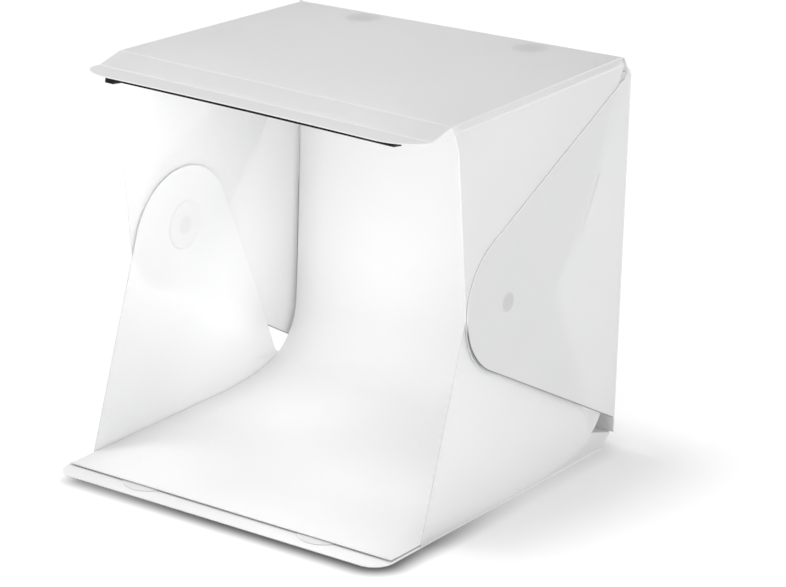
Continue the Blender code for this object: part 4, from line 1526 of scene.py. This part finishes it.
@dataclass
class Studio:
    """The floor, the lights and the camera. Powers are in watts."""

    eye: Triple = (2.0077169, -2.8506599, 1.4180078)
    yaw: float = 0.5992178
    pitch: float = -0.3442129
    roll: float = 0.0287610
    lens: float = 180.322
    surround: float = 0.80
    floor_reach: float = 9.0
    glow_radius: float = 0.045
    # the painted contact shadow round the base: its reach, its colour and where it is strongest
    shade_reach: float = 0.029
    shade_tone: float = 0.03
    shade_spans: tuple[tuple[str, Pair, Pair], ...] = (
        ("X", (-0.17, 0.02), (0.80, 0.96)), ("X", (-0.184, -0.150), (0.0, 1.0)),
        ("Y", (-0.20, 0.05), (1.0, 0.15)),
    )

    def build(self) -> None:
        """Sets the stage."""
        self.floor()
        self.world()
        self.light("high_key", "SUN", 0.80, (-0.26, -0.07, 0.96), angle=math.radians(16.0))
        for name, power, place, aim, size in (
            ("rear_softbox", 5.0, (0.4, 2.6, 0.5), (0.0, 0.19, 0.2), (1.0, 0.6)),
            ("right_softbox", 4.0, (2.4, 0.2, 0.35), (0.19, 0.0, 0.2), (1.0, 0.5)),
            ("lamp_glow", 0.43, (0.002, -0.152, 0.372), (0.0, 0.10, 0.05), (0.30, 0.010)),
        ):
            self.light(name, "AREA", power, place, aim, shape="RECTANGLE", size=size[0], size_y=size[1])
        for name, power, place in (
            ("upper_glow", 0.13, (-0.06, 0.02, 0.24)),
            ("rear_glow", 0.135, (-0.10, 0.075, 0.11)),
            ("front_glow", 0.11, (0.07, -0.05, 0.12)),
        ):
            self.light(name, "POINT", power, place, shadow_soft_size=self.glow_radius)
        self.camera()

    @staticmethod
    def light(name: str, kind: str, power: float, place: Triple, aim: Triple = (0.0, 0.0, 0.0),
              **settings: float | str) -> None:
        """A soft light that looks at a point.

        Args:
            name: its name.
            kind: SUN, AREA or POINT.
            power: its power, or its strength for a sun.
            place: where it hangs, or the direction that a sun shines from.
            aim: what it looks at.
            settings: its size and other settings.
        """
        data = bpy.data.lights.new(name, kind)
        data.energy = power
        for key, value in settings.items():
            setattr(data, key, value)
        obj = linked(name, data)
        obj.location = place
        obj.rotation_euler = (Vector(aim) - Vector(place)).to_track_quat("-Z", "Y").to_euler()

    def floor(self) -> None:
        """A plain white floor that runs out of the picture, with a shadow painted close round the base."""
        mesh, far = bpy.data.meshes.new("studio_floor"), self.floor_reach
        mesh.from_pydata([(-far, -far, 0), (far, -far, 0), (far, far, 0), (-far, far, 0)], [], [(0, 1, 2, 3)])
        obj = linked("studio_floor", mesh)
        paint = Painter("studio_paper")
        paper = paint.blend(paint.noise(2.0, 0.0), grey(0.965), grey(0.97))
        # paints a contact shadow into the paper's colour round the base
        colour = paint.blend(self.contact(paint), paper, grey(self.shade_tone))
        mesh.materials.append(paint.shade({"Base Color": colour, "Roughness": 0.9}))

    def contact(self, paint: Painter) -> Socket:
        """A shadow painted on the floor round the base: a soft step of the distance from its rounded outline.

        The distance is |max(|p| - (half - r), 0)| - r, with p from the base's middle. The shade is strongest
        under the front edge, more so to the right.

        Args:
            paint: the floor's painter.

        Returns:
            How dark the place is.
        """
        r = TENT.base_corner
        half = (TENT.base_half - r, (TENT.base_rear[0] - TENT.front) / 2 - r, 1.0)
        middle = (0.0, (TENT.base_rear[0] + TENT.front) / 2, 0.0)
        folded = paint.vector("ABSOLUTE", paint.vector("SUBTRACT", paint.place, middle))
        outside = paint.vector("MAXIMUM", paint.vector("SUBTRACT", folded, half), (0.0, 0.0, 0.0))
        distance = paint.vector("LENGTH", outside)
        parts = paint.add("SeparateXYZ", {0: paint.place}).outputs
        outer = paint.span(distance, r - 0.001, r + self.shade_reach, 1.0, 0.0)
        shade = paint.maths("MULTIPLY", outer, paint.span(distance, r - 0.003, r - 0.001, 0.0, 1.0))
        for axis, run, shares in self.shade_spans:
            shade = paint.maths("MULTIPLY", shade, paint.span(parts[axis], *run, *shares))
        return shade

    def world(self) -> None:
        """A plain white surround."""
        world = bpy.data.worlds.new("studio_surround")
        bpy.context.scene.world = world
        world.use_nodes = True
        back = world.node_tree.nodes["Background"]
        back.inputs[0].default_value = grey(1.0)
        back.inputs[1].default_value = self.surround
        bpy.context.scene.view_settings.view_transform = "Standard"

    def camera(self) -> None:
        """The camera at the fitted place, with its yaw, pitch and roll."""
        data = bpy.data.cameras.new("camera")
        data.lens = self.lens
        data.clip_end = 100.0
        obj = linked("camera", data)
        turn = Matrix.Translation(self.eye)
        for angle, axis in ((self.yaw, "Z"), (math.pi / 2 + self.pitch, "X"), (self.roll, "Z")):
            turn = turn @ Matrix.Rotation(angle, 4, axis)
        obj.matrix_world = turn
        bpy.context.scene.camera = obj


def main() -> None:
    """Builds every assembly in order and reports it."""
    logging.basicConfig(level=logging.INFO, format="%(message)s")
    Studio().build()
    groups: list[Assembly] = [Chain(), Leaves(), Backdrop(), LampBar()]
    for group in groups:
        group.build()
        LOG.info("%s: %d pieces", type(group).__name__, len(group.pieces))
    for side in Side:
        foam = Moulded(f"{side.word}_pad_foam", 0.80, roughness=0.7, grain=900.0, grain_depth=0.00006)
        dress(f"{side.word}_backdrop_pad", foam.make())


if __name__ == "__main__":
    main()
